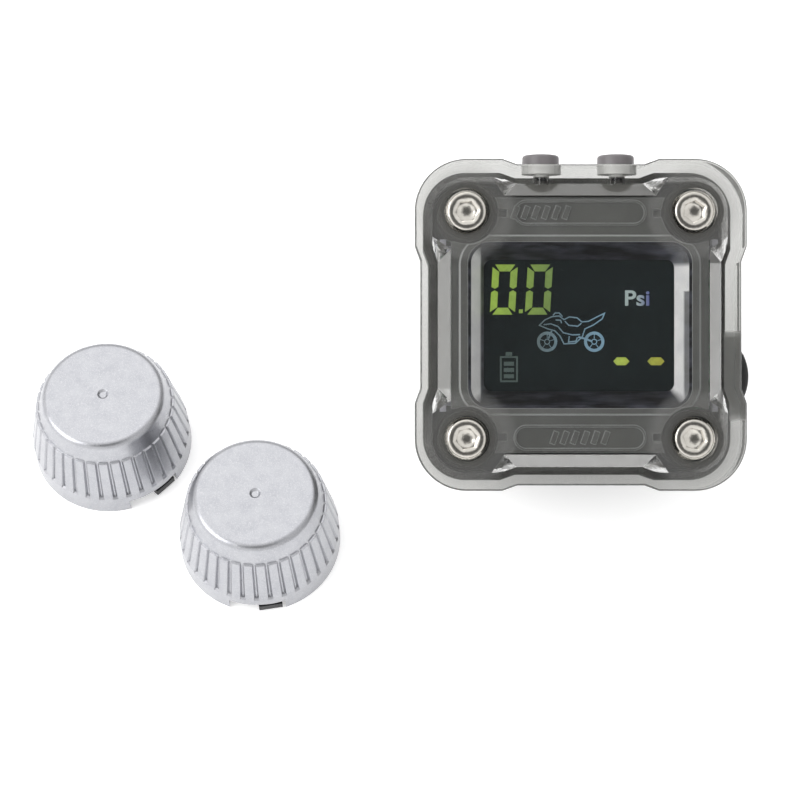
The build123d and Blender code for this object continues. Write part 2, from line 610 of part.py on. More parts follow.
SWITCH_BODY = (4.6, 2.4, 2.0)
SWITCH_BACK_V = 18.4
PLUNGER_RADIUS = 0.8
PLUNGER_END = 21.3
SPRING_SEAT = (1.75, 2.65, 1.3)
STEM_GROOVE = STEM_RADIUS - 0.3
CLIP_RADIUS = 2.3
CLIP_MOUTH = (1.5, 2.0)
CLIP_V = 23.1
CLIP_THICKNESS = 0.4
SEAL_V = 24.4
SEAL_WIRE = 0.165
SEAL_ROOM = 0.3
for side, button_u in TWO_BUTTONS:
    with BuildPart() as tact_switch:
        with BuildSketch(plane_up(button_u, SWITCH_BACK_V, BUTTON_W)):
            Rectangle(SWITCH_BODY[0], SWITCH_BODY[2])
        extrude(amount=SWITCH_BODY[1])
        with BuildSketch(plane_up(button_u, SWITCH_BACK_V + SWITCH_BODY[1], BUTTON_W)):
            Circle(PLUNGER_RADIUS)
        extrude(amount=PLUNGER_END - SWITCH_BACK_V - SWITCH_BODY[1])
    tact_switch.part.label = f"tact_switch_{side}"
    export_step(tact_switch.part, f"parts/tact_switch_{side}.step")

    with BuildPart() as button:
        with BuildSketch(plane_up(button_u, BUTTON_BASE, BUTTON_W)):
            Circle(BUTTON_RADIUS)
        extrude(amount=BUTTON_TOP - BUTTON_BASE)
        fillet(button.edges().group_by(Axis(HINGE, UP_FACE))[-1], 0.5)
        # The spring's ring-shaped seat in the underside of the cap.
        with BuildSketch(plane_up(button_u, BUTTON_BASE, BUTTON_W)):
            Circle(SPRING_SEAT[1])
            Circle(SPRING_SEAT[0], mode=Mode.SUBTRACT)
        extrude(amount=SPRING_SEAT[2], mode=Mode.SUBTRACT)
        with BuildSketch(plane_up(button_u, STEM_END, BUTTON_W)):
            Circle(STEM_RADIUS)
        extrude(amount=BUTTON_BASE - STEM_END)
        # Grooves for the clip and for the seal.
        for groove_v, groove_width in ((CLIP_V, CLIP_THICKNESS), (SEAL_V - SEAL_ROOM, 2 * SEAL_ROOM)):
            with BuildSketch(plane_up(button_u, groove_v, BUTTON_W)):
                Circle(STEM_RADIUS + 0.1)
                Circle(STEM_GROOVE, mode=Mode.SUBTRACT)
            extrude(amount=groove_width, mode=Mode.SUBTRACT)
    button.part.label = f"button_{side}"
    export_step(button.part, f"parts/button_{side}.step")

    with BuildPart() as button_clip:
        with BuildSketch(plane_up(button_u, CLIP_V, BUTTON_W)):
            Circle(CLIP_RADIUS)
            Circle(STEM_GROOVE, mode=Mode.SUBTRACT)
            with Locations((0, -CLIP_RADIUS)):
                Rectangle(CLIP_MOUTH[0], 2 * CLIP_MOUTH[1], mode=Mode.SUBTRACT)
        extrude(amount=CLIP_THICKNESS)
    button_clip.part.label = f"button_clip_{side}"
    export_step(button_clip.part, f"parts/button_clip_{side}.step")

    seal_axis = Axis(spot(button_u, 0, BUTTON_W), UP_FACE)
    seal_section = Plane(origin=spot(button_u, SEAL_V, BUTTON_W), x_dir=ACROSS, z_dir=OUT)
    with BuildPart() as button_seal:
        with BuildSketch(seal_section):
            with Locations((STEM_GROOVE + SEAL_WIRE, 0)):
                Circle(SEAL_WIRE)
        revolve(axis=seal_axis)
    button_seal.part.label = f"button_seal_{side}"
    export_step(button_seal.part, f"parts/button_seal_{side}.step")

    spring_base = POCKET_FLOOR + SPRING_WIRE_RADIUS + 0.02
    spring_height = BUTTON_BASE + SPRING_SEAT[2] - SPRING_WIRE_RADIUS - 0.02 - spring_base
    with BuildPart() as button_spring:
        with BuildLine() as spring_path:
            Helix(
                spring_height / SPRING_TURNS,
                spring_height,
                SPRING_COIL_RADIUS,
                center=spot(button_u, spring_base, BUTTON_W),
                direction=UP_FACE,
            )
        with BuildSketch(Plane(origin=spring_path.line @ 0, z_dir=spring_path.line % 0)):
            Circle(SPRING_WIRE_RADIUS)
        sweep(is_frenet=True)
    button_spring.part.label = f"button_spring_{side}"
    export_step(button_spring.part, f"parts/button_spring_{side}.step")


# ======== Charging-port plug ========

PLUG_ARC = (-42.0, 37.0)
PLUG_GAP = 0.2
PLUG_LIP = ((27.9, -15.0), (27.0, -15.0))
PLUG_TONGUE = (6.4, 2.2)
PLUG_TONGUE_TIP = 24.8
PLUG_EDGE_RADIUS = 0.8
TONGUE_ROOT = 0.5
KNUCKLE_BAND = (1.9, 5.5)
KNUCKLE_END = -4.6
KNUCKLE_GAP = 6.0
with BuildPart() as port_plug:
    # The domed body, whose outer line is an arc from the knuckle down to a finger lip.
    with BuildSketch(level(PLUG_BACK)):
        with BuildLine():
            dome = CenterArc(PLUG_CENTRE, PLUG_RADIUS, PLUG_ARC[0], PLUG_ARC[1] - PLUG_ARC[0])
            top_end = (PLUG_INSIDE, (dome @ 1).Y)
            Polyline(dome @ 1, top_end, (PLUG_INSIDE, PLUG_LIP[1][1]), *reversed(PLUG_LIP), dome @ 0)
        make_face()
    extrude(amount=PLUG_FRONT - PLUG_BACK)
    long_edges = port_plug.edges().filter_by(GeomType.CIRCLE)
    fillet(long_edges, PLUG_EDGE_RADIUS)
    with BuildSketch(level(PLUG_BACK)):
        add(case_outline(HOUSING_INSET - PLUG_GAP))
    extrude(amount=PLUG_FRONT - PLUG_BACK, mode=Mode.SUBTRACT)
    # The knuckle turns between the housing's two lugs.
    for gap_back, gap_front in ((PLUG_BACK, KNUCKLE_BAND[0]), (KNUCKLE_BAND[1], PLUG_FRONT)):
        with BuildSketch(level(gap_back)):
            with Locations((PLUG_PIN[0], KNUCKLE_END)):
                Rectangle(KNUCKLE_GAP, KNUCKLE_GAP, align=(Align.CENTER, Align.MIN))
        extrude(amount=gap_front - gap_back, mode=Mode.SUBTRACT)
    with BuildSketch(level(KNUCKLE_BAND[0])):
        with Locations(PLUG_PIN):
            Circle(PLUG_KNUCKLE_RADIUS)
    extrude(amount=KNUCKLE_BAND[1] - KNUCKLE_BAND[0])
    with BuildSketch(level(PLUG_BACK)):
        with Locations(PLUG_PIN):
            Circle(PLUG_PIN_RADIUS + 0.05)
    extrude(amount=PLUG_FRONT - PLUG_BACK, mode=Mode.SUBTRACT)
    # The tongue that fills the port's window.
    with BuildSketch(plane_across(PLUG_TONGUE_TIP)):
        with Locations((PORT_V, PORT_W)):
            RectangleRounded(*PLUG_TONGUE, 0.5)
    extrude(amount=PLUG_INSIDE + TONGUE_ROOT - PLUG_TONGUE_TIP)
port_plug.part.label = "port_plug"
export_step(port_plug.part, "parts/port_plug.step")

with BuildPart() as port_plug_pin:
    with BuildSketch(level(LUG_BANDS[0][0])):
        with Locations(PLUG_PIN):
            Circle(PLUG_PIN_RADIUS)
    extrude(amount=LUG_BANDS[1][1] - LUG_BANDS[0][0])
port_plug_pin.part.label = "port_plug_pin"
export_step(port_plug_pin.part, "parts/port_plug_pin.step")


# ======== Handlebar bracket ========

KNUCKLE_CENTRE = (0, -HINGE_TO_BACK)
PLATE_SCREW_HEAD = 2.05
with BuildPart() as bracket_plate:
    with BuildSketch(level(-BRACKET_PLATE[2])):
        RectangleRounded(BRACKET_PLATE[0], BRACKET_PLATE[1], 3.0)
    extrude(amount=BRACKET_PLATE[2])
    with BuildSketch(plane_across(-KNUCKLE_HALF)):
        with Locations(KNUCKLE_CENTRE):
            Circle(KNUCKLE_RADIUS)
            Rectangle(2 * KNUCKLE_RADIUS, HINGE_TO_BACK - 1.0, align=(Align.CENTER, Align.MIN))
    extrude(amount=2 * KNUCKLE_HALF)
    with BuildSketch(plane_across(-KNUCKLE_HALF)):
        with Locations(KNUCKLE_CENTRE):
            Circle(BOLT_BORE_RADIUS)
    extrude(amount=2 * KNUCKLE_HALF, mode=Mode.SUBTRACT)
    with Locations(level(-BRACKET_PLATE[2]).rotated((180, 0, 0))):
        with GridLocations(*PLATE_SCREW_PITCH, 2, 2):
            CounterSinkHole(PLATE_SCREW_BORE + 0.1, PLATE_SCREW_HEAD + 0.1, BRACKET_PLATE[2])
bracket_plate.part.label = "bracket_plate"
export_step(bracket_plate.part, "parts/bracket_plate.step")

PLATE_SCREW_LENGTH = 5.2
PLATE_CROSS_SLOT = (2.4, 0.5, 0.6)
with BuildPart() as plate_screws:
    with BuildSketch(level(-BRACKET_PLATE[2])):
        with GridLocations(*PLATE_SCREW_PITCH, 2, 2):
            Circle(PLATE_SCREW_BORE - 0.05)
    extrude(amount=PLATE_SCREW_LENGTH)
    head_depth = PLATE_SCREW_HEAD - PLATE_SCREW_BORE + 0.05
    with BuildSketch(level(-BRACKET_PLATE[2])):
        with GridLocations(*PLATE_SCREW_PITCH, 2, 2):
            Circle(PLATE_SCREW_HEAD)
    extrude(amount=head_depth, taper=45)
    with BuildSketch(level(-BRACKET_PLATE[2])):
        with GridLocations(*PLATE_SCREW_PITCH, 2, 2):
            Rectangle(PLATE_CROSS_SLOT[0], PLATE_CROSS_SLOT[1])
            Rectangle(PLATE_CROSS_SLOT[1], PLATE_CROSS_SLOT[0])
    extrude(amount=PLATE_CROSS_SLOT[2], mode=Mode.SUBTRACT)
plate_screws.part.label = "plate_screws"
export_step(plate_screws.part, "parts/plate_screws.step")

# The base's own frame looks along +X from its left end: x is along the table, y is up.
BASE_END = Plane(origin=(MONITOR_X - BASE_LENGTH / 2, HINGE_Y, 0), x_dir=(0, 1, 0), z_dir=(1, 0, 0))
BAR_AXIS = (0, -BAR_RADIUS * math.cos(math.radians(BAR_ARC_HALF)))
EAR_FOOT_HALF = 6.0
STRAP_CHANNEL = (6.5, 1.2)
STRAP_PITCH = 27.5
with BuildPart() as bracket_base:
    with BuildSketch(BASE_END):
        Rectangle(BASE_WIDTH, BASE_HEIGHT, align=(Align.CENTER, Align.MIN))
    extrude(amount=BASE_LENGTH)
    fillet(bracket_base.edges().filter_by(Axis.X).group_by(Axis.Z)[-1], 2.5)
    fillet(bracket_base.edges().filter_by(Axis.Z), 1.5)
    with BuildSketch(BASE_END):
        with Locations(BAR_AXIS):
            Circle(BAR_RADIUS + PAD_THICKNESS)
    extrude(amount=BASE_LENGTH, mode=Mode.SUBTRACT)
    # Channels that keep two straps in place across the top.
    with BuildSketch(Plane.XY.offset(BASE_HEIGHT - STRAP_CHANNEL[1])):
        with Locations((MONITOR_X, HINGE_Y)):
            with GridLocations(STRAP_PITCH, 0, 2, 1):
                Rectangle(STRAP_CHANNEL[0], BASE_WIDTH)
    extrude(amount=STRAP_CHANNEL[1], mode=Mode.SUBTRACT)
    # Two ears hold the hinge bolt.
    for ear_start in (-EAR_OUTSIDE, EAR_INSIDE):
        with BuildSketch(BASE_END.offset(BASE_LENGTH / 2 + ear_start)):
            with BuildLine():
                Polyline(
                    (-EAR_FOOT_HALF, BASE_HEIGHT - STRAP_CHANNEL[1]),
                    (EAR_FOOT_HALF, BASE_HEIGHT - STRAP_CHANNEL[1]),
                    (EAR_RADIUS, HINGE_Z),
                    (-EAR_RADIUS, HINGE_Z),
                    close=True,
                )
            make_face()
            with Locations((0, HINGE_Z)):
                Circle(EAR_RADIUS)
                Circle(BOLT_BORE_RADIUS, mode=Mode.SUBTRACT)
        extrude(amount=EAR_OUTSIDE - EAR_INSIDE)
bracket_base.part.label = "bracket_base"
export_step(bracket_base.part, "parts/bracket_base.step")

with BuildPart() as saddle_pad:
    with BuildSketch(BASE_END):
        with Locations(BAR_AXIS):
            Circle(BAR_RADIUS + PAD_THICKNESS)
            Circle(BAR_RADIUS, mode=Mode.SUBTRACT)
        Rectangle(4 * BAR_RADIUS, 4 * BAR_RADIUS, align=(Align.CENTER, Align.MAX), mode=Mode.SUBTRACT)
    extrude(amount=BASE_LENGTH)
saddle_pad.part.label = "saddle_pad"
export_step(saddle_pad.part, "parts/saddle_pad.step")

HINGE_SECTION = BASE_END.offset(BASE_LENGTH / 2).shift_origin(HINGE)
NUT_HEIGHT = 3.2
NUT_HALF_WIDTH = 3.5
BOLT_END = 0.5
HINGE_HEAD_HEIGHT = 3.8
with BuildPart() as hinge_bolt:
    with BuildSketch(HINGE_SECTION.offset(-EAR_OUTSIDE - NUT_HEIGHT - BOLT_END)):
        Circle(BOLT_RADIUS)
    extrude(amount=2 * EAR_OUTSIDE + NUT_HEIGHT + BOLT_END)
    with BuildSketch(HINGE_SECTION.offset(EAR_OUTSIDE)):
        Circle(HEAD_RADIUS)
    extrude(amount=HINGE_HEAD_HEIGHT)
    fillet(hinge_bolt.edges().group_by(Axis.X)[-1], 0.5)
    with BuildSketch(HINGE_SECTION.offset(EAR_OUTSIDE + HINGE_HEAD_HEIGHT)):
        RegularPolygon(HEX_SOCKET_RADIUS, 6)
    extrude(amount=-HEX_SOCKET_DEPTH, mode=Mode.SUBTRACT)
hinge_bolt.part.label = "hinge_bolt"
export_step(hinge_bolt.part, "parts/hinge_bolt.step")

with BuildPart() as hinge_nut:
    with BuildSketch(HINGE_SECTION.offset(-EAR_OUTSIDE - NUT_HEIGHT)):
        RegularPolygon(NUT_HALF_WIDTH, 6, major_radius=False)
        Circle(BOLT_BORE_RADIUS, mode=Mode.SUBTRACT)
    extrude(amount=NUT_HEIGHT)
hinge_nut.part.label = "hinge_nut"
export_step(hinge_nut.part, "parts/hinge_nut.step")


# ======== Valve-cap sensors ========

GROOVE_FOOT_RADIUS = 13.4
GROOVE_OVERRUN = 0.2
GROOVE_FLOOR_HALF = 0.12
GROOVE_MOUTH = (1.5, 1.02)
SCOOP_START = (13.35, 4.5)
SCOOP_END = (14.4, 3.62)
SCOOP_WIDTH = 0.95
INSIDE_SHOULDER_HEIGHT = 11.4
CEILING_RADIUS = 9.5
SEAL_GROOVE = (12.2, 6.6, 7.5)
SEAL_RING = (11.75, 0.39)
DIMPLE_RADIUS = 0.95
DIMPLE_DEPTH = 0.35
HUB_RADIUS = 6.2
INSERT_OUTSIDE = 4.9
BASE_FOOT = 0.3
HUB_FOOT = 0.6
BASE_WEB = (7.6, 8.8)
BASE_TOP = 11.2
BASE_WALL = 1.2
BOARD_LEDGE = 10.0
BOARD_THICKNESS = 0.8
SENSOR_BOARD_RADIUS = 9.6
BOARD_VENT_RADIUS = 0.5
HUB_RIBS = 6
HUB_RIB_WIDTH = 0.9
CELL = (8.0, 11.1, 3.2)
CLIP = (8.15, 5.0, 0.3)
VALVE_SEAL = (1.7, 4.5, 0.8)
PRESSURE_CHIP = (4.0, 1.1)
VALVE_PIN_RADIUS = 0.8
VALVE_PIN_WALL = 0.45
VALVE_PIN_FOOT = 7.25
SENSORS = (("front", FRONT_SENSOR, 0.0), ("rear", REAR_SENSOR, REAR_SENSOR_HEADING))

# The cutter for one groove between two ribs: it narrows inwards, leans in with the ribs,
# and ends in a scoop across the rim.
with BuildPart() as rib_groove:
    groove_lean = (GROOVE_FOOT_RADIUS - SHOULDER_RADIUS) / (RIB_TOP - RIM_HEIGHT)
    groove_rise = RIB_TOP + GROOVE_OVERRUN - RIM_HEIGHT
    for rise in (0, groove_rise):
        floor_radius = GROOVE_FOOT_RADIUS - groove_lean * rise
        with BuildSketch(Plane.XY.offset(RIM_HEIGHT + rise)):
            with BuildLine():
                Polyline(
                    (floor_radius, -GROOVE_FLOOR_HALF),
                    (floor_radius + GROOVE_MOUTH[0], -GROOVE_MOUTH[1]),
                    (floor_radius + GROOVE_MOUTH[0], GROOVE_MOUTH[1]),
                    (floor_radius, GROOVE_FLOOR_HALF),
                    close=True,
                )
            make_face()
    loft(ruled=True)
    with BuildSketch(Plane(origin=(0, 0, 0), x_dir=(1, 0, 0), z_dir=(0, -1, 0))):
        with BuildLine():
            Polyline(SCOOP_START, SCOOP_END, (SCOOP_END[0], SCOOP_START[1]), close=True)
        make_face()
    extrude(amount=SCOOP_WIDTH / 2, both=True)

for wheel, (sensor_x, sensor_y), heading in SENSORS:
    turned = math.radians(heading)
    foot = Plane(origin=(sensor_x, sensor_y, 0), x_dir=(math.cos(turned), math.sin(turned), 0))
    section = Plane(origin=foot.origin, x_dir=foot.x_dir, z_dir=-foot.y_dir)
    centre_line = Axis(foot.origin, (0, 0, 1))

    with BuildPart() as sensor_cover:
        with BuildSketch(section):
            with BuildLine():
                Polyline(
                    (0, SENSOR_HEIGHT),
                    (CROWN_RADIUS, SENSOR_HEIGHT),
                    (SHOULDER_RADIUS, RIB_TOP),
                    (RIB_TOP_RADIUS, RIB_TOP),
                    (RIM_TOP_RADIUS, RIM_HEIGHT),
                    (SENSOR_RADIUS, 0),
                    (SENSOR_BORE_RADIUS, 0),
                    (SENSOR_BORE_RADIUS, INSIDE_SHOULDER_HEIGHT),
                    (CEILING_RADIUS, SENSOR_CEILING),
                    (0, SENSOR_CEILING),
                    close=True,
                )
            make_face()
        revolve(axis=centre_line)
        fillet(sensor_cover.edges().group_by(Axis.Z)[-1], CROWN_FILLET)
        # The seal's groove in the bore, and a shallow dimple in the middle of the crown.
        with BuildSketch(foot.offset(SEAL_GROOVE[1])):
            Circle(SEAL_GROOVE[0])
            Circle(SENSOR_BORE_RADIUS - 0.5, mode=Mode.SUBTRACT)
        extrude(amount=SEAL_GROOVE[2] - SEAL_GROOVE[1], mode=Mode.SUBTRACT)
        with BuildSketch(foot.offset(SENSOR_HEIGHT - DIMPLE_DEPTH)):
            Circle(DIMPLE_RADIUS - DIMPLE_DEPTH)
        extrude(amount=DIMPLE_DEPTH, taper=-45, mode=Mode.SUBTRACT)
        with Locations(foot.location):
            with PolarLocations(0, RIB_COUNT):
                add(rib_groove.part, mode=Mode.SUBTRACT)
        # Two notches in the rim, opposite each other.
        with BuildSketch(foot):
            Rectangle(NOTCH_WIDTH, 2 * SENSOR_RADIUS + 2)
        extrude(amount=NOTCH_HEIGHT, mode=Mode.SUBTRACT)
    sensor_cover.part.label = f"{wheel}_sensor_cover"
    export_step(sensor_cover.part, f"parts/{wheel}_sensor_cover.step")

    with BuildPart() as cover_seal:
        with BuildSketch(section):
            with Locations((SEAL_RING[0], (SEAL_GROOVE[1] + SEAL_GROOVE[2]) / 2)):
                Circle(SEAL_RING[1])
        revolve(axis=centre_line)
    cover_seal.part.label = f"{wheel}_cover_seal"
    export_step(cover_seal.part, f"parts/{wheel}_cover_seal.step")

    with BuildPart() as sensor_base:
        with BuildSketch(foot.offset(BASE_FOOT)):
            Circle(BASE_RADIUS)
            Circle(BASE_RADIUS - BASE_WALL, mode=Mode.SUBTRACT)
        extrude(amount=BASE_TOP - BASE_FOOT)
        with BuildSketch(foot.offset(BASE_WEB[0])):
            Circle(BASE_RADIUS)
        extrude(amount=BASE_WEB[1] - BASE_WEB[0])
        with BuildSketch(foot.offset(HUB_FOOT)):
            Circle(HUB_RADIUS)
        extrude(amount=BASE_WEB[1] - HUB_FOOT)
        with BuildSketch(foot.offset(HUB_FOOT + 0.9)):
            with PolarLocations((HUB_RADIUS + BASE_RADIUS - BASE_WALL) / 2, HUB_RIBS):
                Rectangle(BASE_RADIUS - BASE_WALL - HUB_RADIUS + 0.6, HUB_RIB_WIDTH)
        extrude(amount=BASE_WEB[0] - HUB_FOOT - 0.9)
        with BuildSketch(foot.offset(HUB_FOOT)):
            Circle(INSERT_OUTSIDE)
        extrude(amount=VALVE_INSERT_LENGTH + VALVE_SEAL[2], mode=Mode.SUBTRACT)
        with BuildSketch(foot.offset(HUB_FOOT)):
            Circle(VALVE_PIN_RADIUS)
        extrude(amount=BASE_WEB[1] - HUB_FOOT, mode=Mode.SUBTRACT)
        # A ledge for the circuit board.
        with BuildSketch(foot.offset(BASE_WEB[1])):
            Circle(BASE_RADIUS - BASE_WALL / 2)
            Circle(SENSOR_BOARD_RADIUS - 0.7, mode=Mode.SUBTRACT)
        extrude(amount=BOARD_LEDGE - BASE_WEB[1])
        # Two lugs reach out into the cover's notches.
        with BuildSketch(foot.offset(BASE_FOOT)):
            with PolarLocations(BASE_RADIUS - 0.3 + LUG_SIZE[0] / 2, 2, start_angle=LUG_ANGLE - 90):
                Rectangle(LUG_SIZE[0], LUG_SIZE[1])
        extrude(amount=LUG_SIZE[2])
    sensor_base.part.label = f"{wheel}_sensor_base"
    export_step(sensor_base.part, f"parts/{wheel}_sensor_base.step")

    with BuildPart() as valve_insert:
        with BuildSketch(foot.offset(HUB_FOOT)):
            Circle(INSERT_OUTSIDE)
            Circle(VALVE_RADIUS, mode=Mode.SUBTRACT)
        extrude(amount=VALVE_INSERT_LENGTH)
    valve_insert.part.label = f"{wheel}_valve_insert"
    export_step(valve_insert.part, f"parts/{wheel}_valve_insert.step")

    with BuildPart() as valve_seal:
        with BuildSketch(foot.offset(HUB_FOOT + VALVE_INSERT_LENGTH)):
            Circle(VALVE_SEAL[1])
            Circle(VALVE_SEAL[0], mode=Mode.SUBTRACT)
        extrude(amount=VALVE_SEAL[2])
    valve_seal.part.label = f"{wheel}_valve_seal"
    export_step(valve_seal.part, f"parts/{wheel}_valve_seal.step")

    with BuildPart() as valve_pin:
        with BuildSketch(foot.offset(VALVE_PIN_FOOT)):
            Circle(VALVE_PIN_RADIUS)
            Circle(VALVE_PIN_RADIUS - VALVE_PIN_WALL, mode=Mode.SUBTRACT)
        extrude(amount=BASE_WEB[1] - VALVE_PIN_FOOT)
    valve_pin.part.label = f"{wheel}_valve_pin"
    export_step(valve_pin.part, f"parts/{wheel}_valve_pin.step")

    with BuildPart() as circuit_board:
        with BuildSketch(foot.offset(BOARD_LEDGE)):
            Circle(SENSOR_BOARD_RADIUS)
            Circle(BOARD_VENT_RADIUS, mode=Mode.SUBTRACT)
        extrude(amount=BOARD_THICKNESS)
    circuit_board.part.label = f"{wheel}_circuit_board"
    export_step(circuit_board.part, f"parts/{wheel}_circuit_board.step")

    with BuildPart() as pressure_chip:
        with BuildSketch(foot.offset(BOARD_LEDGE)):
            Rectangle(PRESSURE_CHIP[0], PRESSURE_CHIP[0])
            Circle(BOARD_VENT_RADIUS, mode=Mode.SUBTRACT)
        extrude(amount=-PRESSURE_CHIP[1])
    pressure_chip.part.label = f"{wheel}_pressure_chip"
    export_step(pressure_chip.part, f"parts/{wheel}_pressure_chip.step")

    with BuildPart() as coin_cell:
        with BuildSketch(foot.offset(CELL[1])):
            Circle(CELL[0])
        extrude(amount=CELL[2])
        fillet(coin_cell.edges().group_by(Axis.Z)[-1], 0.4)
    coin_cell.part.label = f"{wheel}_coin_cell"
    export_step(coin_cell.part, f"parts/{wheel}_coin_cell.step")

    # A sprung strap over the cell, with a foot on the board at each side.
    with BuildPart() as cell_clip:
        with BuildSketch(section.offset(-CLIP[1] / 2)):
            clip_top = CELL[1] + CELL[2] + CLIP[2]
            with Locations((0, BOARD_LEDGE + BOARD_THICKNESS)):
                outer_width = 2 * (CLIP[0] + CLIP[2])
                outer_height = clip_top - BOARD_LEDGE - BOARD_THICKNESS
                Rectangle(outer_width, outer_height, align=(Align.CENTER, Align.MIN))
                Rectangle(
                    2 * CLIP[0],
                    outer_height - CLIP[2],
                    align=(Align.CENTER, Align.MIN),
                    mode=Mode.SUBTRACT,
                )
        extrude(amount=CLIP[1])
    cell_clip.part.label = f"{wheel}_cell_clip"
    export_step(cell_clip.part, f"parts/{wheel}_cell_clip.step")
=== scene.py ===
import math

import bmesh
import bpy
from mathutils import Matrix, Vector


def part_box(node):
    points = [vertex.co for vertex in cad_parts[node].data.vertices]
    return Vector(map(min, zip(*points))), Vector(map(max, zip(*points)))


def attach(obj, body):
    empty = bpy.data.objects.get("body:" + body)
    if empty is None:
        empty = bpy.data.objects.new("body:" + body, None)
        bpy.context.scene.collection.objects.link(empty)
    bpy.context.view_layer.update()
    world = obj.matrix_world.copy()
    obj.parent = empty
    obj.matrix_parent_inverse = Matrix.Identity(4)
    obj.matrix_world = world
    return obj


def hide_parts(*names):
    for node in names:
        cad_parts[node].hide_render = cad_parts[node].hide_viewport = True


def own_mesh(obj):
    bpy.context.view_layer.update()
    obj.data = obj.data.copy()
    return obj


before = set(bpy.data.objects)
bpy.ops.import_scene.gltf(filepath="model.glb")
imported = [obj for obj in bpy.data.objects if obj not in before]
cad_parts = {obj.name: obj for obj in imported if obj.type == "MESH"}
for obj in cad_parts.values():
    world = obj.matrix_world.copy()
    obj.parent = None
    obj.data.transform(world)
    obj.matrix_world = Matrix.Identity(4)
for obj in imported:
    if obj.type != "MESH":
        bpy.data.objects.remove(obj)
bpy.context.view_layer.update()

# ---------------------------------------------------------------------------
# Places. The row's frame is in metres. The receiver's own frame is u to the right, v up its
# face and w out of its face, from the middle of its back, and is written in millimetres.

MM = 0.001
FACE_TILT = math.radians(30)
HINGE_TO_BACK = 6.0
BUTTON_AT = 6.3
BUTTON_DEEP = 14.0
SCREW_AT = 18.85


def centre(node):
    low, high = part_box(node)
    return (low + high) / 2


ACROSS = Vector((1, 0, 0))
UP_FACE = Vector((0, math.cos(FACE_TILT), math.sin(FACE_TILT)))
OUT = Vector((0, -math.sin(FACE_TILT), math.cos(FACE_TILT)))
HINGE = Vector((centre("front_cover").x, centre("hinge_nut").y, centre("hinge_nut").z))
BACK = HINGE + OUT * HINGE_TO_BACK * MM
FACE = Matrix.Translation(BACK) @ Matrix((ACROSS, UP_FACE, OUT)).transposed().to_4x4()


def on_face(u, v, w):
    """The point of the row's frame at (u, v, w) in the receiver's frame."""
    return FACE @ (Vector((u, v, w)) * MM)


# ---------------------------------------------------------------------------
# Materials


def rgb(red, green, blue):
    """A colour given as 0 to 255 on a screen, as the linear colour that a shader takes."""
    def linear(value):
        value /= 255
        return value / 12.92 if value <= 0.04045 else ((value + 0.055) / 1.055) ** 2.4
    return (linear(red), linear(green), linear(blue), 1.0)


# The share of a 45 degree face's direction that points out of the receiver's face.
HALF_WAY = math.sqrt(0.5)
# The rounding, in millimetres, that finds the edges for the painted edge highlight.
HIGHLIGHT_ROUNDING = 0.22


class Finish:
    """A material with one Principled shader, and short calls that put nodes in front of it."""

    def __init__(self, name, **constants):
        self.material = bpy.data.materials.new(name)
        self.material.use_nodes = True
        self.tree = self.material.node_tree
        self.tree.nodes.clear()
        self.output = self.tree.nodes.new("ShaderNodeOutputMaterial")
        self.shader = self.tree.nodes.new("ShaderNodeBsdfPrincipled")
        self.tree.links.new(self.shader.outputs[0], self.output.inputs["Surface"])
        self.place = self.tree.nodes.new("ShaderNodeTexCoord").outputs["Object"]
        for socket, value in constants.items():
            self.shader.inputs[socket.replace("_", " ")].default_value = value

    def add(self, kind, values=(), **settings):
        node = self.tree.nodes.new("ShaderNode" + kind)
        for key, value in settings.items():
            setattr(node, key, value)
        for socket, value in dict(values).items():
            if isinstance(value, bpy.types.NodeSocket):
                self.tree.links.new(value, node.inputs[socket])
            else:
                node.inputs[socket].default_value = value
        return node

    def noise(self, size, detail=2.0, stretch=(1, 1, 1)):
        """Cloudy grain whose lumps are about size millimetres across."""
        mapped = self.add("Mapping", {"Vector": self.place, "Scale": stretch})
        values = {"Vector": mapped.outputs[0], "Scale": 1 / (size * MM), "Detail": detail}
        return self.add("TexNoise", values).outputs["Fac"]

    def cells(self, size, feature="F1", output="Distance"):
        """Cells about size millimetres across."""
        values = {"Vector": self.place, "Scale": 1 / (size * MM)}
        return self.add("TexVoronoi", values, feature=feature).outputs[output]

    def levels(self, value, low, high, to_low=0.0, to_high=1.0):
        """Runs from to_low to to_high while value runs from low to high, and stays there."""
        values = {"Value": value, "From Min": low, "From Max": high, "To Min": to_low, "To Max": to_high}
        return self.add("MapRange", values).outputs[0]

    def maths(self, operation, a, b=0.0):
        return self.add("Math", {0: a, 1: b}, operation=operation).outputs[0]

    def mix(self, factor, dark, light):
        return self.add("Mix", {0: factor, 6: dark, 7: light}, data_type="RGBA").outputs[2]

    def dot(self, vector, way):
        return self.add("VectorMath", {0: vector, 1: tuple(way)}, operation="DOT_PRODUCT").outputs["Value"]

    def distance(self, point):
        """How far the surface is from a point of the row's frame."""
        return self.add("VectorMath", {0: self.place, 1: tuple(point)}, operation="DISTANCE").outputs["Value"]

    def past(self, way, low, high, before=0.0, after=1.0):
        """Runs from before to after between two places along way in the receiver's frame."""
        zero = BACK.dot(way)
        return self.levels(self.dot(self.place, way), zero + low * MM, zero + high * MM, before, after)

    def set(self, socket, value):
        if isinstance(value, bpy.types.NodeSocket):
            self.tree.links.new(value, self.shader.inputs[socket])
        else:
            self.shader.inputs[socket].default_value = value

    def bump(self, height, depth, normal=None):
        """Raises the surface by depth millimetres where height is 1."""
        values = {"Height": height, "Distance": depth * MM, "Strength": 1.0}
        if normal is not None:
            values["Normal"] = normal
        return self.add("Bump", values).outputs[0]

    def soft_edges(self, radius):
        """The normal with every sharp edge rounded to radius millimetres, as moulded edges are."""
        return self.add("Bevel", {"Radius": radius * MM}, samples=4).outputs["Normal"]


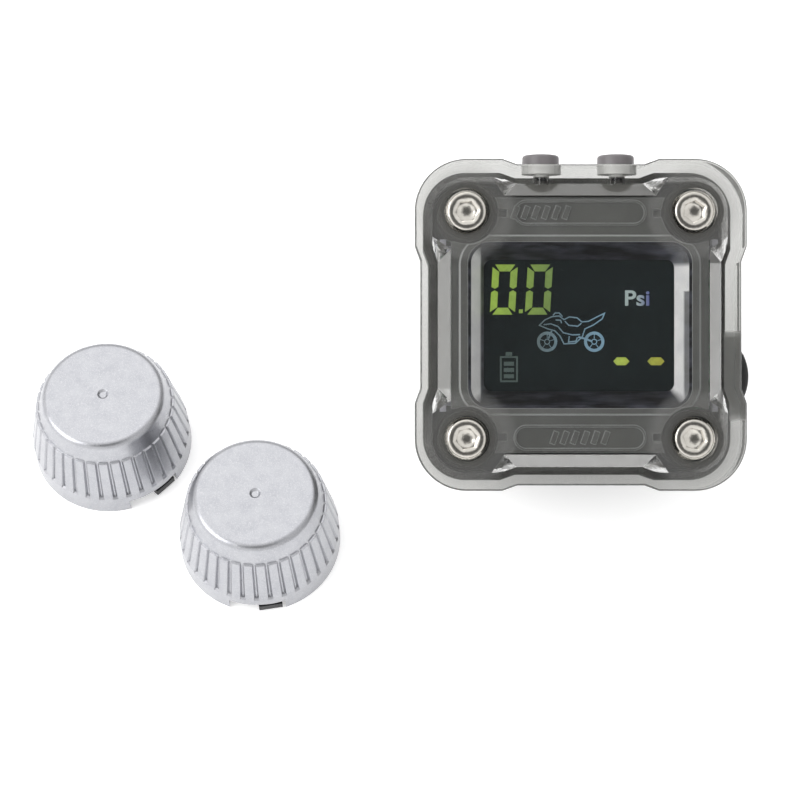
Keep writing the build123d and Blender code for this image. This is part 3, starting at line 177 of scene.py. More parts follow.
def painted_edge_highlights(finish):
    """1 on sharp edges and on the chamfers that lean 45 degrees from the receiver's face, which get a painted
    highlight.
    """
    flat = finish.add("NewGeometry").outputs["Normal"]
    bevelled = finish.soft_edges(HIGHLIGHT_ROUNDING)
    rounding = finish.add("VectorMath", {0: bevelled, 1: flat}, operation="DOT_PRODUCT").outputs["Value"]
    edges = finish.levels(rounding, 0.995, 0.9, 0.0, 0.8)
    lean = finish.maths("SUBTRACT", finish.dot(flat, OUT), HALF_WAY)
    chamfers = finish.levels(finish.maths("ABSOLUTE", lean), 0.05, 0.1, 0.9, 0.0)
    return finish.maths("MAXIMUM", edges, chamfers)


def moulded(name, colour, rough, grain=0.25, depth=0.004, edge=0.12, mottle=0.12, edge_highlight=None, **constants):
    """Moulded plastic or rubber: a fine spark grain, faint clouding and rounded edges, with a painted
    highlight of the given colour on the edges where one is given."""
    finish = Finish(name, **constants)
    cloud = finish.noise(6.0, 4.0)
    grains = finish.noise(grain, 3.0)
    dark = tuple(channel * (1 - mottle) for channel in colour[:3]) + (1.0,)
    light = tuple(min(1.0, channel * (1 + mottle)) for channel in colour[:3]) + (1.0,)
    tone = finish.mix(finish.levels(cloud, 0.3, 0.7), dark, light)
    # A painted highlight on the edges and the 45 degree chamfers.
    if edge_highlight:
        tone = finish.mix(painted_edge_highlights(finish), tone, edge_highlight)
    finish.set("Base Color", tone)
    finish.set("Roughness", finish.levels(grains, 0.25, 0.75, max(0.02, rough - 0.07), rough + 0.09))
    finish.set("Normal", finish.bump(grains, depth, finish.soft_edges(edge)))
    return finish.material


COVER_BACK = 8.2
COVER_FRONT = 19.8
BEVELS_END = 18.4
POCKET_FOOT = 24.75
POCKET_MIDDLE = 25.5
POCKET_RADIUS = 3.4
PLUG_MIDDLE = (25.6, -8.4)
PLUG_REACH = 7.2
# How far from each screw the painted light over its dark well starts to fade, and where it is gone, in
# millimetres.
WELL_LIGHT_FROM = 4.0
WELL_LIGHT_TO = 8.5


def button_pockets(finish):
    """1 in the pockets for the two buttons, which the mould leaves frosted."""
    frost = 0.0
    for side in (-1, 1):
        away = finish.distance(on_face(side * BUTTON_AT, POCKET_MIDDLE, BUTTON_DEEP))
        pocket = finish.levels(away, POCKET_RADIUS * MM, (POCKET_RADIUS + 0.4) * MM, 1.0, 0.0)
        frost = finish.maths("MAXIMUM", pocket, frost)
    return finish.maths("MULTIPLY", frost, finish.past(UP_FACE, POCKET_FOOT - 0.1, POCKET_FOOT + 0.1))


def inner_bevels(finish, outward):
    """1 on the slanted faces inside the front edge, which get a painted shade: dark grey, and less
    see-through.
    """
    lean = finish.maths("SUBTRACT", finish.maths("ABSOLUTE", outward), HALF_WAY)
    slanted = finish.levels(finish.maths("ABSOLUTE", lean), 0.04, 0.1, 1.0, 0.0)
    inside = finish.past(OUT, BEVELS_END - 0.1, BEVELS_END + 0.1, 1.0, 0.0)
    return finish.maths("MULTIPLY", slanted, inside)


def back_rim(finish, outward):
    """How matt the rim on the gasket is: faintly, and more so over the port plug."""
    level = finish.levels(finish.maths("ABSOLUTE", outward), 0.96, 0.99)
    lowest = finish.past(OUT, COVER_BACK, COVER_BACK + 0.2, 1.0, 0.0)
    from_plug = finish.distance(on_face(*PLUG_MIDDLE, COVER_BACK))
    matt = finish.levels(from_plug, PLUG_REACH * MM, (PLUG_REACH + 0.6) * MM, 0.75, 0.12)
    return finish.maths("MULTIPLY", finish.maths("MULTIPLY", level, lowest), matt)


def painted_screw_light(finish):
    """1 on the front face at each screw, where the wall behind it is deepest, fading outwards: there a
    painted light, grey, lifts the dark well round the screw.
    """
    squares = []
    for way in (ACROSS, UP_FACE):
        offset = finish.maths("SUBTRACT", finish.dot(finish.place, way), BACK.dot(way))
        from_screw = finish.maths("SUBTRACT", finish.maths("ABSOLUTE", offset), SCREW_AT * MM)
        squares.append(finish.maths("POWER", from_screw, 2.0))
    reach = finish.maths("SQRT", finish.maths("ADD", *squares))
    fading = finish.levels(reach, WELL_LIGHT_FROM * MM, WELL_LIGHT_TO * MM, 1.0, 0.0)
    return finish.maths("MULTIPLY", fading, finish.past(OUT, COVER_FRONT - 0.3, COVER_FRONT))


def clear_smoke():
    """Smoke-tinted clear polycarbonate. Lamps shine through it by a plain see-through shadow."""
    finish = Finish("clear_smoke", IOR=1.5)
    outward = finish.dot(finish.add("NewGeometry").outputs["True Normal"], OUT)
    frost = button_pockets(finish)
    painted_bevel_shade = inner_bevels(finish, outward)
    rim = back_rim(finish, outward)
    screw_well_light = painted_screw_light(finish)

    # Frost on the rim and pockets, the painted shade on the slanted faces and the painted light round the
    # screws each take transmission away.
    frost_and_painted_light = finish.maths("ADD", finish.maths("MULTIPLY", painted_bevel_shade, 0.68), rim)
    frost_and_painted_light = finish.maths("MAXIMUM", frost_and_painted_light, finish.maths("MULTIPLY", frost, 0.8))
    frost_and_painted_light = finish.maths("ADD", frost_and_painted_light, finish.maths("MULTIPLY", screw_well_light, 0.22))
    finish.set("Transmission Weight", finish.maths("SUBTRACT", 1.0, frost_and_painted_light))

    wipes = finish.levels(finish.noise(9.0, 5.0), 0.3, 0.7)
    clear = finish.mix(wipes, rgb(244, 244, 242), rgb(250, 250, 250))
    # Dark grey on the slanted inner faces is painted shade; grey round the screws is painted light.
    tone = finish.mix(screw_well_light, finish.mix(painted_bevel_shade, clear, rgb(94, 93, 89)), rgb(132, 131, 127))
    matt = finish.maths("MINIMUM", finish.maths("ADD", finish.maths("MULTIPLY", rim, 9.0), frost), 1.0)
    finish.set("Base Color", finish.mix(matt, tone, rgb(240, 240, 237)))

    polish = finish.levels(finish.noise(2.5, 6.0), 0.35, 0.8, 0.0, 0.05)
    polish = finish.maths("MAXIMUM", polish, finish.maths("MULTIPLY", frost, 0.3))
    finish.set("Roughness", finish.maths("MAXIMUM", polish, finish.maths("MULTIPLY", rim, 0.6)))
    finish.set("Normal", finish.bump(finish.noise(4.0), 0.004))

    lamp = finish.add("LightPath").outputs["Is Shadow Ray"]
    see_through = finish.add("BsdfTransparent", {"Color": rgb(232, 232, 231)}).outputs[0]
    both = finish.add("MixShader", {0: lamp, 1: finish.shader.outputs[0], 2: see_through})
    finish.tree.links.new(both.outputs[0], finish.output.inputs["Surface"])
    smoke = finish.add("VolumeAbsorption", {"Color": rgb(96, 96, 92), "Density": 49.0})
    finish.tree.links.new(smoke.outputs[0], finish.output.inputs["Volume"])
    return finish.material


def silver_paint():
    """Silver metallic lacquer: fine flakes that glint, over a lightly orange-peeled plastic cap."""
    finish = Finish("silver_paint", Metallic=0.95, Coat_Weight=0.1, Coat_Roughness=0.3)
    flakes = finish.cells(0.11, "F1", "Color")
    flake_light = finish.add("SeparateColor", {0: flakes}).outputs[0]
    cloud = finish.noise(2.2, 6.0)
    base = finish.mix(finish.levels(cloud, 0.3, 0.7), rgb(162, 163, 168), rgb(172, 173, 177))
    glint = finish.mix(finish.levels(flake_light, 0.6, 1.0), base, rgb(184, 184, 187))
    finish.set("Base Color", glint)
    finish.set("Roughness", finish.levels(finish.noise(0.4, 4.0), 0.3, 0.7, 0.27, 0.36))
    peel = finish.bump(finish.noise(0.5, 3.0), 0.006, finish.soft_edges(0.16))
    finish.set("Normal", finish.bump(flake_light, 0.002, peel))
    return finish.material


def metal(name, colour, rough, brush=(1, 1, 1), size=0.3, edge=0.08, depth=0.002):
    """Turned or drawn metal, with brush marks as long as brush stretches them."""
    finish = Finish(name, Metallic=1.0)
    marks = finish.noise(size, 4.0, brush)
    dark = tuple(channel * 0.82 for channel in colour[:3]) + (1.0,)
    finish.set("Base Color", finish.mix(finish.levels(finish.noise(2.0, 4.0), 0.3, 0.7), dark, colour))
    finish.set("Roughness", finish.levels(marks, 0.3, 0.7, max(0.03, rough - 0.06), rough + 0.08))
    finish.set("Normal", finish.bump(marks, depth, finish.soft_edges(edge)))
    return finish.material


def circuit_board():
    """Green solder mask with fine copper tracks and pads showing through it."""
    finish = Finish("circuit_board", Coat_Weight=0.4, Coat_Roughness=0.12)
    tracks = finish.levels(finish.cells(1.1, "DISTANCE_TO_EDGE"), 0.03, 0.06)
    mask = finish.mix(finish.noise(3.0), rgb(14, 62, 38), rgb(20, 80, 48))
    finish.set("Base Color", finish.mix(tracks, rgb(42, 120, 72), mask))
    finish.set("Roughness", finish.levels(finish.noise(0.5), 0.3, 0.7, 0.3, 0.45))
    finish.set("Normal", finish.bump(finish.maths("SUBTRACT", 1.0, tracks), 0.02))
    return finish.material


DOT_SIZE = 0.22


def display_glass():
    """The display's dark glass, near black, with the faint grid of its dots."""
    finish = Finish("display_glass", Coat_Weight=0.2, Coat_Roughness=0.05, Specular_IOR_Level=0.25)
    cloud = finish.noise(12.0, 3.0)
    dots = finish.cells(DOT_SIZE, "DISTANCE_TO_EDGE")
    tint = finish.mix(finish.levels(cloud, 0.3, 0.7), rgb(18, 27, 28), rgb(29, 38, 40))
    finish.set("Base Color", finish.mix(finish.levels(dots, 0.0, 0.25, 0.35, 0.0), tint, rgb(8, 10, 12)))
    finish.set("Roughness", finish.levels(finish.noise(1.0, 4.0), 0.3, 0.7, 0.12, 0.2))
    finish.set("Normal", finish.bump(finish.noise(5.0), 0.003))
    return finish.material


# Where the bezel carries a painted reflection, near white: on its left slope up to the first place along u,
# and on its right slope up to a height, all over above a second height and up to a place along u below it.
REFLECTION_LEFT = -16.6
REFLECTION_TOP = 10.2
REFLECTION_WIDE = 5.6
REFLECTION_RIGHT = 17.2


def bezel_trim():
    """The bezel round the display: a painted reflection on parts of its left and right slopes, dark
    elsewhere.
    """
    finish = Finish("bright_trim")
    sideways = finish.dot(finish.add("NewGeometry").outputs["True Normal"], ACROSS)
    left = finish.maths("MULTIPLY", finish.levels(sideways, 0.3, 0.6),
                        finish.past(ACROSS, REFLECTION_LEFT, REFLECTION_LEFT + 0.3, 1.0, 0.1))
    right = finish.maths("MULTIPLY", finish.levels(sideways, -0.6, -0.3, 1.0, 0.0),
                         finish.past(UP_FACE, REFLECTION_TOP - 0.5, REFLECTION_TOP + 0.3, 1.0, 0.12))
    width = finish.maths("MAXIMUM", finish.past(ACROSS, REFLECTION_RIGHT, REFLECTION_RIGHT + 0.3, 1.0, 0.25),
                         finish.past(UP_FACE, REFLECTION_WIDE - 0.2, REFLECTION_WIDE + 0.2))
    # The painted reflection: a near-white, barely metallic strip on the two side slopes.
    painted_reflection = finish.maths("ADD", left, finish.maths("MULTIPLY", right, width))
    finish.set("Metallic", finish.levels(painted_reflection, 0.0, 1.0, 1.0, 0.15))
    streaks = finish.noise(1.6, 3.0, (0.25, 1.0, 1.0))
    dark = finish.mix(finish.levels(streaks, 0.4, 0.75), rgb(62, 62, 66), rgb(104, 106, 118))
    cloud = finish.levels(finish.noise(3.0), 0.35, 0.65)
    bright = finish.mix(cloud, rgb(240, 240, 243), rgb(254, 254, 255))
    finish.set("Base Color", finish.mix(painted_reflection, dark, bright))
    finish.set("Roughness", finish.levels(painted_reflection, 0.0, 1.0, 0.34, 0.3))
    finish.set("Normal", finish.bump(finish.noise(0.6, 3.0), 0.002, finish.soft_edges(0.05)))
    return finish.material


UNLIT = rgb(20, 22, 24)
UNLIT_SHARE = 0.8


def glow(name, dim, lit, strength, start=-14.0, end=14.0):
    """A lit symbol of the display, broken up into dots. Its colour runs from dim to lit along u,
    or is dim all over where lit is None."""
    finish = Finish(name, Roughness=0.35, Specular_IOR_Level=0.2)
    if lit is None:
        colour = dim
        body = tuple(on + (off - on) * UNLIT_SHARE for on, off in zip(dim, UNLIT))
    else:
        colour = finish.mix(finish.past(ACROSS, start, end), dim, lit)
        body = finish.mix(UNLIT_SHARE, colour, UNLIT)
    finish.set("Base Color", body)
    finish.set("Emission Color", colour)
    cloud = finish.levels(finish.noise(0.9, 3.0), 0.3, 0.7, 0.86, 1.1)
    dots = finish.levels(finish.cells(DOT_SIZE, "DISTANCE_TO_EDGE"), 0.0, 0.12, 0.72, 1.0)
    power = finish.maths("MULTIPLY", finish.maths("MULTIPLY", cloud, dots), strength)
    finish.set("Emission Strength", power)
    return finish.material


CAP_SEAM = 25.95


def button_cap():
    """Satin grey push buttons, with a pale collar below the cap and a dark stem below that."""
    finish = Finish("button_plastic")
    cap = finish.past(UP_FACE, CAP_SEAM - 0.02, CAP_SEAM + 0.02)
    collar = finish.past(UP_FACE, POCKET_FOOT - 0.1, POCKET_FOOT + 0.1)
    cloud = finish.levels(finish.noise(4.0, 4.0), 0.3, 0.7)
    grey = finish.mix(cloud, rgb(104, 101, 102), rgb(116, 112, 114))
    below = finish.mix(collar, rgb(66, 66, 64), rgb(228, 228, 226))
    finish.set("Base Color", finish.mix(cap, below, grey))
    grains = finish.noise(0.25, 3.0)
    finish.set("Roughness", finish.levels(grains, 0.25, 0.75, 0.36, 0.5))
    finish.set("Normal", finish.bump(grains, 0.006, finish.soft_edges(0.12)))
    return finish.material


FINISHES = {
    "smoke_clear": clear_smoke(),
    "black_rubber": moulded("black_rubber", rgb(28, 28, 29), 0.62, grain=0.3, depth=0.008, edge=0.15),
    "grey_silicone": moulded("grey_silicone", rgb(140, 140, 138), 0.5, grain=0.3, depth=0.006, edge=0.1),
    "black_plastic": moulded("black_plastic", rgb(34, 34, 36), 0.48, grain=0.22, depth=0.010),
    "stainless_steel": metal("stainless_steel", rgb(216, 212, 204), 0.13, size=0.3, depth=0.012),
    "brass": metal("brass", rgb(196, 158, 84), 0.28),
    # The panel's edges and chamfers carry a painted highlight in light grey.
    "panel_plastic": moulded("panel_plastic", rgb(98, 99, 97), 0.36, grain=0.2, depth=0.005, edge=0.1,
                             edge_highlight=rgb(180, 182, 182)),
    "bright_trim": bezel_trim(),
    "display_glass": display_glass(),
    "white_diffuser": moulded("white_diffuser", rgb(226, 228, 230), 0.5),
    "pale_plastic": moulded("pale_plastic", rgb(190, 190, 200), 0.4),
    "circuit_board": circuit_board(),
    "chip_resin": moulded("chip_resin", rgb(30, 30, 32), 0.5, grain=0.1, depth=0.004, edge=0.06),
    "shield_can": metal("shield_can", rgb(190, 190, 186), 0.3, brush=(6, 1, 1)),
    "copper_wire": metal("copper_wire", rgb(186, 104, 62), 0.25),
    "battery_foil": metal("battery_foil", rgb(176, 178, 182), 0.38, size=1.2, depth=0.03),
    "button_plastic": button_cap(),
    "spring_steel": metal("spring_steel", rgb(178, 178, 180), 0.24),
    "silver_paint": silver_paint(),
}

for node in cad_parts.values():
    slot_name = node.data.materials[0].name.split(".")[0]
    node.data.materials[0] = FINISHES[slot_name]


# ---------------------------------------------------------------------------
# Pieces made here


def piece(name, vertices, faces, finish, body, slot, smooth=False):
    """Puts a mesh in the row's frame, riding on body, with the finish. The slot is not used."""
    mesh = bpy.data.meshes.new(name)
    mesh.from_pydata([tuple(v) for v in vertices], [], faces)
    shape = bmesh.new()
    shape.from_mesh(mesh)
    bmesh.ops.recalc_face_normals(shape, faces=shape.faces)
    shape.to_mesh(mesh)
    shape.free()
    mesh.materials.append(finish)
    if smooth:
        mesh.shade_smooth()
        mesh.set_sharp_from_angle(angle=math.radians(35))
    thing = bpy.data.objects.new(name, mesh)
    bpy.context.scene.collection.objects.link(thing)
    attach(thing, body)
    return thing


class Plates:
    """Thin flat shapes on the display, between two heights w in millimetres."""

    def __init__(self, low, high):
        self.low = low
        self.high = high
        self.vertices = []
        self.faces = []

    def plate(self, outline):
        first = len(self.vertices)
        count = len(outline)
        for w in (self.low, self.high):
            self.vertices += [on_face(u, v, w) for u, v in outline]
        self.faces.append([first + i for i in range(count)])
        self.faces.append([first + count + i for i in range(count)])
        for i in range(count):
            j = (i + 1) % count
            self.faces.append([first + i, first + j, first + count + j, first + count + i])

    def ribbon(self, points, width, closed=False):
        """A line of even width with mitred corners."""
        count = len(points)
        left, right = [], []
        for i, (u, v) in enumerate(points):
            before = Vector(points[i - 1] if closed or i else points[i])
            after = Vector(points[(i + 1) % count] if closed or i < count - 1 else points[i])
            here = Vector((u, v))
            arrive = (here - before).normalized() if (here - before).length else (after - here).normalized()
            leave = (after - here).normalized() if (after - here).length else arrive
            mitre = (arrive + leave).normalized()
            side = Vector((-mitre.y, mitre.x)) * width / 2 / max(0.35, mitre.dot(arrive))
            left.append(here + side)
            right.append(here - side)
        first = len(self.vertices)
        for row, w in ((left, self.low), (right, self.low), (left, self.high), (right, self.high)):
            self.vertices += [on_face(p.x, p.y, w) for p in row]
        rows = [first + count * k for k in range(4)]
        spans = count if closed else count - 1
        for i in range(spans):
            j = (i + 1) % count
            for one, other in ((0, 1), (2, 3), (0, 2), (1, 3)):
                self.faces.append([rows[one] + i, rows[one] + j, rows[other] + j, rows[other] + i])
        if not closed:
            for i in (0, count - 1):
                self.faces.append([rows[0] + i, rows[1] + i, rows[3] + i, rows[2] + i])

    def ring(self, place, radius, width, count=40):
        turns = [2 * math.pi * i / count for i in range(count)]
        points = [(place[0] + radius * math.cos(t), place[1] + radius * math.sin(t)) for t in turns]
        self.ribbon(points, width, closed=True)

    def finish(self, name, material):
        return piece(name, self.vertices, self.faces, material, "receiver", "display_glass")


GLOW_LOW = 15.305
GLOW_HIGH = 15.35
LINE = 0.2
DIGIT_WIDTH = 4.2
DIGIT_HEIGHT = 8.37
DIGIT_BOTTOM = 1.84
DIGIT_LEAN = 0.06
STROKE = 1.15
CUT = 0.35
SPLIT = 0.08
WAIST = 0.45
WAIST_TIP = 0.12


def digit_zero(plates, left):
    """Six lit segments of a seven-segment figure: a nought, leaning a little to the right."""
    width, height, thick = DIGIT_WIDTH, DIGIT_HEIGHT, STROKE
    edge = CUT + SPLIT
    top = [(edge, height), (width - edge, height), (width - thick - SPLIT, height - thick),
           (thick + SPLIT, height - thick)]
    half = height / 2
    upper = [(0, height - edge), (thick, height - thick - SPLIT), (thick, half + WAIST),
             (thick / 2, half + WAIST_TIP), (0, half + WAIST)]
    for shape in (top, upper):
        mirrored_down = [(u, height - v) for u, v in shape]
        for outline in (shape, mirrored_down):
            sides = [outline] if shape is top else [outline, [(width - u, v) for u, v in outline]]
            for side in sides:
                plates.plate([(left + u + v * DIGIT_LEAN, DIGIT_BOTTOM + v) for u, v in side])


def shown_pressure():
    """The figures 0.0 of the pressure."""
    figures = Plates(GLOW_LOW, GLOW_HIGH)
    digit_zero(figures, -14.9)
    digit_zero(figures, -9.05)
    figures.plate([(-10.05, 2.08), (-9.4, 2.08), (-9.37, 2.72), (-10.02, 2.72)])
    glowing = glow("glow_figures", rgb(158, 190, 78), rgb(118, 144, 80), 0.85, -14.7, -4.3)
    figures.finish("shown_pressure", glowing)


def shown_tyre_marks():
    """A short bar with pointed ends for each tyre."""
    low, high = -6.62, -5.3
    middle = (low + high) / 2
    point = 0.6
    marks = Plates(GLOW_LOW, GLOW_HIGH)
    for start, end in ((5.74, 8.43), (11.44, 14.29)):
        marks.plate([(start, middle), (start + point, high), (end - point, high), (end, middle),
                     (end - point, low), (start + point, low)])
    glowing = glow("glow_marks", rgb(176, 200, 88), rgb(168, 164, 66), 0.85, 5.0, 15.0)
    marks.finish("shown_tyre_marks", glowing)


def shown_battery():
    """A battery standing on its end, with three bars in it."""
    battery = Plates(GLOW_LOW, GLOW_HIGH)
    battery.ribbon([(-13.05, -9.3), (-10.35, -9.3), (-10.35, -5.25), (-13.05, -5.25)], 0.3, closed=True)
    battery.plate([(-12.25, -5.05), (-11.15, -5.05), (-11.15, -4.42), (-12.25, -4.42)])
    for bottom in (-8.8, -7.75, -6.7):
        top = bottom + 0.68
        battery.plate([(-12.55, bottom), (-10.85, bottom), (-10.85, top), (-12.55, top)])
    battery.finish("shown_battery", glow("glow_battery", rgb(80, 94, 90), None, 0.8))


WHEELS_AT = (-5.32, 2.55)
WHEELS_UP = -2.69
SPOKES = 5


def shown_cycle():
    """A motorcycle in outline: spoked wheels, body, seat line, screen, fork, swing arm and engine."""
    cycle = Plates(GLOW_LOW, GLOW_HIGH)
    for wheel in WHEELS_AT:
        cycle.ring((wheel, WHEELS_UP), 1.45, 0.5)
        cycle.ring((wheel, WHEELS_UP), 0.42, 0.16, 20)
        for spoke in range(SPOKES):
            turn = 2 * math.pi * spoke / SPOKES + 0.3
            across, up = math.cos(turn), math.sin(turn)
            ends = [(wheel + reach * across, WHEELS_UP + reach * up) for reach in (0.55, 1.3)]
            cycle.ribbon(ends, 0.12)
    body = [(-6.6, 0.05), (-5.7, 0.95), (-4.5, 1.5), (-3.3, 1.62), (-2.5, 1.0), (-1.6, 1.45), (-0.3, 1.3),
            (0.5, 0.62), (1.6, 0.72), (2.9, 1.4), (4.25, 2.05), (3.9, 1.15), (2.4, 0.1), (1.0, -0.55),
            (0.55, -1.9), (-0.6, -2.95), (-2.5, -3.05), (-3.15, -1.75), (-4.05, -0.85), (-5.2, -0.55)]
    cycle.ribbon(body, LINE, closed=True)
    cycle.ribbon([(-5.9, 0.15), (-4.7, 0.3), (-3.5, -0.15), (-2.6, -1.2), (-1.1, -1.55), (0.2, -1.5)], LINE)
    cycle.ribbon([(-2.35, 0.75), (-1.7, 0.05), (-0.2, -0.1), (0.42, 0.4)], LINE)
    cycle.ribbon([(-4.35, 1.72), (-4.0, 2.1), (-3.3, 2.12), (-2.75, 1.5)], LINE)
    cycle.ribbon([(-4.55, -0.9), (-5.1, -2.2)], 0.28)
    cycle.ribbon([(-0.1, -1.9), (1.1, -2.2), (2.1, -2.6)], 0.3)
    cycle.ribbon([(-1.6, -1.75), (-1.75, -2.75), (-0.5, -2.6), (-0.25, -1.95)], LINE)
    cycle.ribbon([(-3.9, 0.95), (-3.05, 0.9), (-2.9, 0.4)], LINE)
    cycle.finish("shown_cycle", glow("glow_cycle", rgb(100, 116, 118), rgb(128, 164, 186), 0.85, -7.0, 3.0))


UNIT_START = (7.5, 3.4)
UNIT_SIZE = 3.55
UNIT_STRETCH = 1.12
UNIT_BOLDER = 0.07
UNIT_HALF_THICK = 0.02


def shown_unit():
    """The unit of the pressure, in raised letters."""
    glowing = glow("glow_unit", rgb(166, 182, 180), rgb(66, 70, 150), 0.9, 9.6, 12.2)
    text = bpy.data.curves.new("unit", "FONT")
    text.body = "Psi"
    text.size = UNIT_SIZE * MM
    text.offset = UNIT_BOLDER * MM
    text.extrude = UNIT_HALF_THICK * MM
    holder = bpy.data.objects.new("unit", text)
    bpy.context.scene.collection.objects.link(holder)
    bpy.context.view_layer.update()
    flat = bpy.data.meshes.new_from_object(holder.evaluated_get(bpy.context.evaluated_depsgraph_get()))
    bpy.data.objects.remove(holder)
    start = Vector((*UNIT_START, GLOW_HIGH - UNIT_HALF_THICK)) * MM
    place = FACE @ Matrix.Translation(start) @ Matrix.Diagonal((UNIT_STRETCH, 1, 1, 1))
    corners = [place @ v.co for v in flat.vertices]
    faces = [list(p.vertices) for p in flat.polygons]
    piece("shown_unit", corners, faces, glowing, "receiver", "display_glass")


TURN_STEPS = 72


def turned(frame_matrix, rows, closed=False):
    """A body of revolution from rows of (height, radius) in millimetres; a radius may be a
    function of the turn in radians. Closed rows form a ring, else both ends meet in a point."""
    vertices, faces, starts = [], [], []
    for height, radius in rows:
        if not callable(radius) and radius == 0:
            starts.append((len(vertices), 1))
            vertices.append(frame_matrix @ (Vector((0, 0, height)) * MM))
            continue
        starts.append((len(vertices), TURN_STEPS))
        for step in range(TURN_STEPS):
            turn = 2 * math.pi * step / TURN_STEPS
            reach = radius(turn) if callable(radius) else radius
            corner = Vector((reach * math.cos(turn), reach * math.sin(turn), height))
            vertices.append(frame_matrix @ (corner * MM))
    pairs = list(zip(starts, starts[1:]))
    if closed:
        pairs.append((starts[-1], starts[0]))
    for (one, many), (other, others) in pairs:
        for step in range(TURN_STEPS):
            after = (step + 1) % TURN_STEPS
            face = [one + step, one + after] if many > 1 else [one]
            face += [other + after, other + step] if others > 1 else [other]
            faces.append(face)
    return vertices, faces


def hexagon(across_flats):
    def radius(turn):
        return across_flats / 2 / math.cos((turn % (math.pi / 3)) - math.pi / 6)
    return radius


def knurl(high, low):
    def radius(turn):
        return high if round(turn * TURN_STEPS / (2 * math.pi)) % 2 else low
    return radius


def thread(height, crest, root, pitch):
    """The radius of a screw thread at one height, as a function of the turn."""
    def radius(turn):
        phase = (height / pitch - turn / (2 * math.pi)) % 1.0
        return root + (crest - root) * min(1.0, 2.4 * abs(phase - 0.5))
    return radius


def thread_rows(low, high, crest, root, pitch, per_turn=6):
    count = round((high - low) / pitch * per_turn)
    heights = [low + (high - low) * i / count for i in range(count + 1)]
    return [(h, thread(h, crest, root, pitch)) for h in heights]


SCREW_TOP = 19.7
SCREW_CREST = 1.98
SCREW_ROOT = 1.66
SCREW_PITCH = 0.7
SCREW_TURNED = (12, 47, 24, 5)


def case_screws():
    """Four socket-head screws with a knurled head, a hexagon socket and a real thread. Heights
    are from the top of the head, and each screw is turned to its own angle."""
    grip = knurl(3.49, 3.3)
    socket = [(-2.75, 0), (-2.2, 1.3), (-2.15, hexagon(3.15)), (-0.22, hexagon(3.2)), (0.0, 2.2)]
    head = [(0.0, 2.55), (-0.03, 3.0), (-0.12, 3.2), (-0.3, 3.34), (-0.45, 3.38), (-0.52, grip), (-3.1, grip),
            (-3.16, 3.38), (-3.45, 3.38), (-3.58, 3.25), (-3.6, 2.1)]
    shank = [(-3.75, SCREW_CREST), (-4.6, SCREW_CREST)]
    threads = thread_rows(-16.9, -4.7, SCREW_CREST, SCREW_ROOT, SCREW_PITCH)
    tip = [(-17.0, 1.62), (-17.3, 1.35), (-17.3, 0)]
    rows = socket + head + shank + threads[::-1] + tip
    vertices, faces = [], []
    for (u, v), degrees in zip(((-1, -1), (1, -1), (1, 1), (-1, 1)), SCREW_TURNED):
        spin = Matrix.Rotation(math.radians(degrees), 4, "Z")
        place = FACE @ Matrix.Translation(Vector((u * SCREW_AT, v * SCREW_AT, SCREW_TOP)) * MM) @ spin
        more, quads = turned(place, rows)
        faces += [[len(vertices) + i for i in quad] for quad in quads]
        vertices += more
    screws = piece("socket_head_screws", vertices, faces, FINISHES["stainless_steel"], "receiver",
                   "stainless_steel", smooth=True)
    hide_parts("case_screws")


SPRING_FOOT = 25.2
SPRING_HEAD = 27.4
SPRING_COIL = 2.2
SPRING_WIRE = 0.15
SPRING_TURNS = 4.0
SPRING_FLAT = 0.6
SPRING_GAP = 0.02
SPRING_STEPS = 160
WIRE_STEPS = 10


def button_spring(u):
    """The mesh of one wound spring at u, whose end coils lie flat for SPRING_FLAT of a turn."""
    low = SPRING_FOOT + SPRING_WIRE + SPRING_GAP
    high = SPRING_HEAD - SPRING_WIRE - SPRING_GAP
    vertices, faces = [], []
    for i in range(SPRING_STEPS + 1):
        turns = SPRING_TURNS * i / SPRING_STEPS
        rise = min(1.0, max(0.0, (turns - SPRING_FLAT) / (SPRING_TURNS - 2 * SPRING_FLAT)))
        turn = 2 * math.pi * turns
        for k in range(WIRE_STEPS):
            lean = 2 * math.pi * k / WIRE_STEPS
            reach = SPRING_COIL + SPRING_WIRE * math.cos(lean)
            climb = low + (high - low) * rise + SPRING_WIRE * math.sin(lean)
            side = BUTTON_DEEP + reach * math.sin(turn)
            vertices.append(on_face(u + reach * math.cos(turn), climb, side))
    for i in range(SPRING_STEPS):
        here, there = i * WIRE_STEPS, (i + 1) * WIRE_STEPS
        for k in range(WIRE_STEPS):
            after = (k + 1) % WIRE_STEPS
            faces.append([here + k, here + after, there + after, there + k])
    faces.append(list(range(WIRE_STEPS)))
    faces.append([SPRING_STEPS * WIRE_STEPS + k for k in range(WIRE_STEPS)])
    return vertices, faces


def button_springs():
    """Wound springs with a flat coil at each end."""
    for side, u in (("left", -BUTTON_AT), ("right", BUTTON_AT)):
        vertices, faces = button_spring(u)
        spring = piece(f"wound_spring_{side}", vertices, faces, FINISHES["spring_steel"], "receiver",
                       "spring_steel", smooth=True)
        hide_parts(f"button_spring_{side}")
        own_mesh(spring)


VALVE_INNER = 3.66
VALVE_OUTER = 3.95
VALVE_PITCH = 0.794
VALVE_FOOT = 4.15
INSERT_WAIST = 0.3
INSERT_KNURL = 0.16


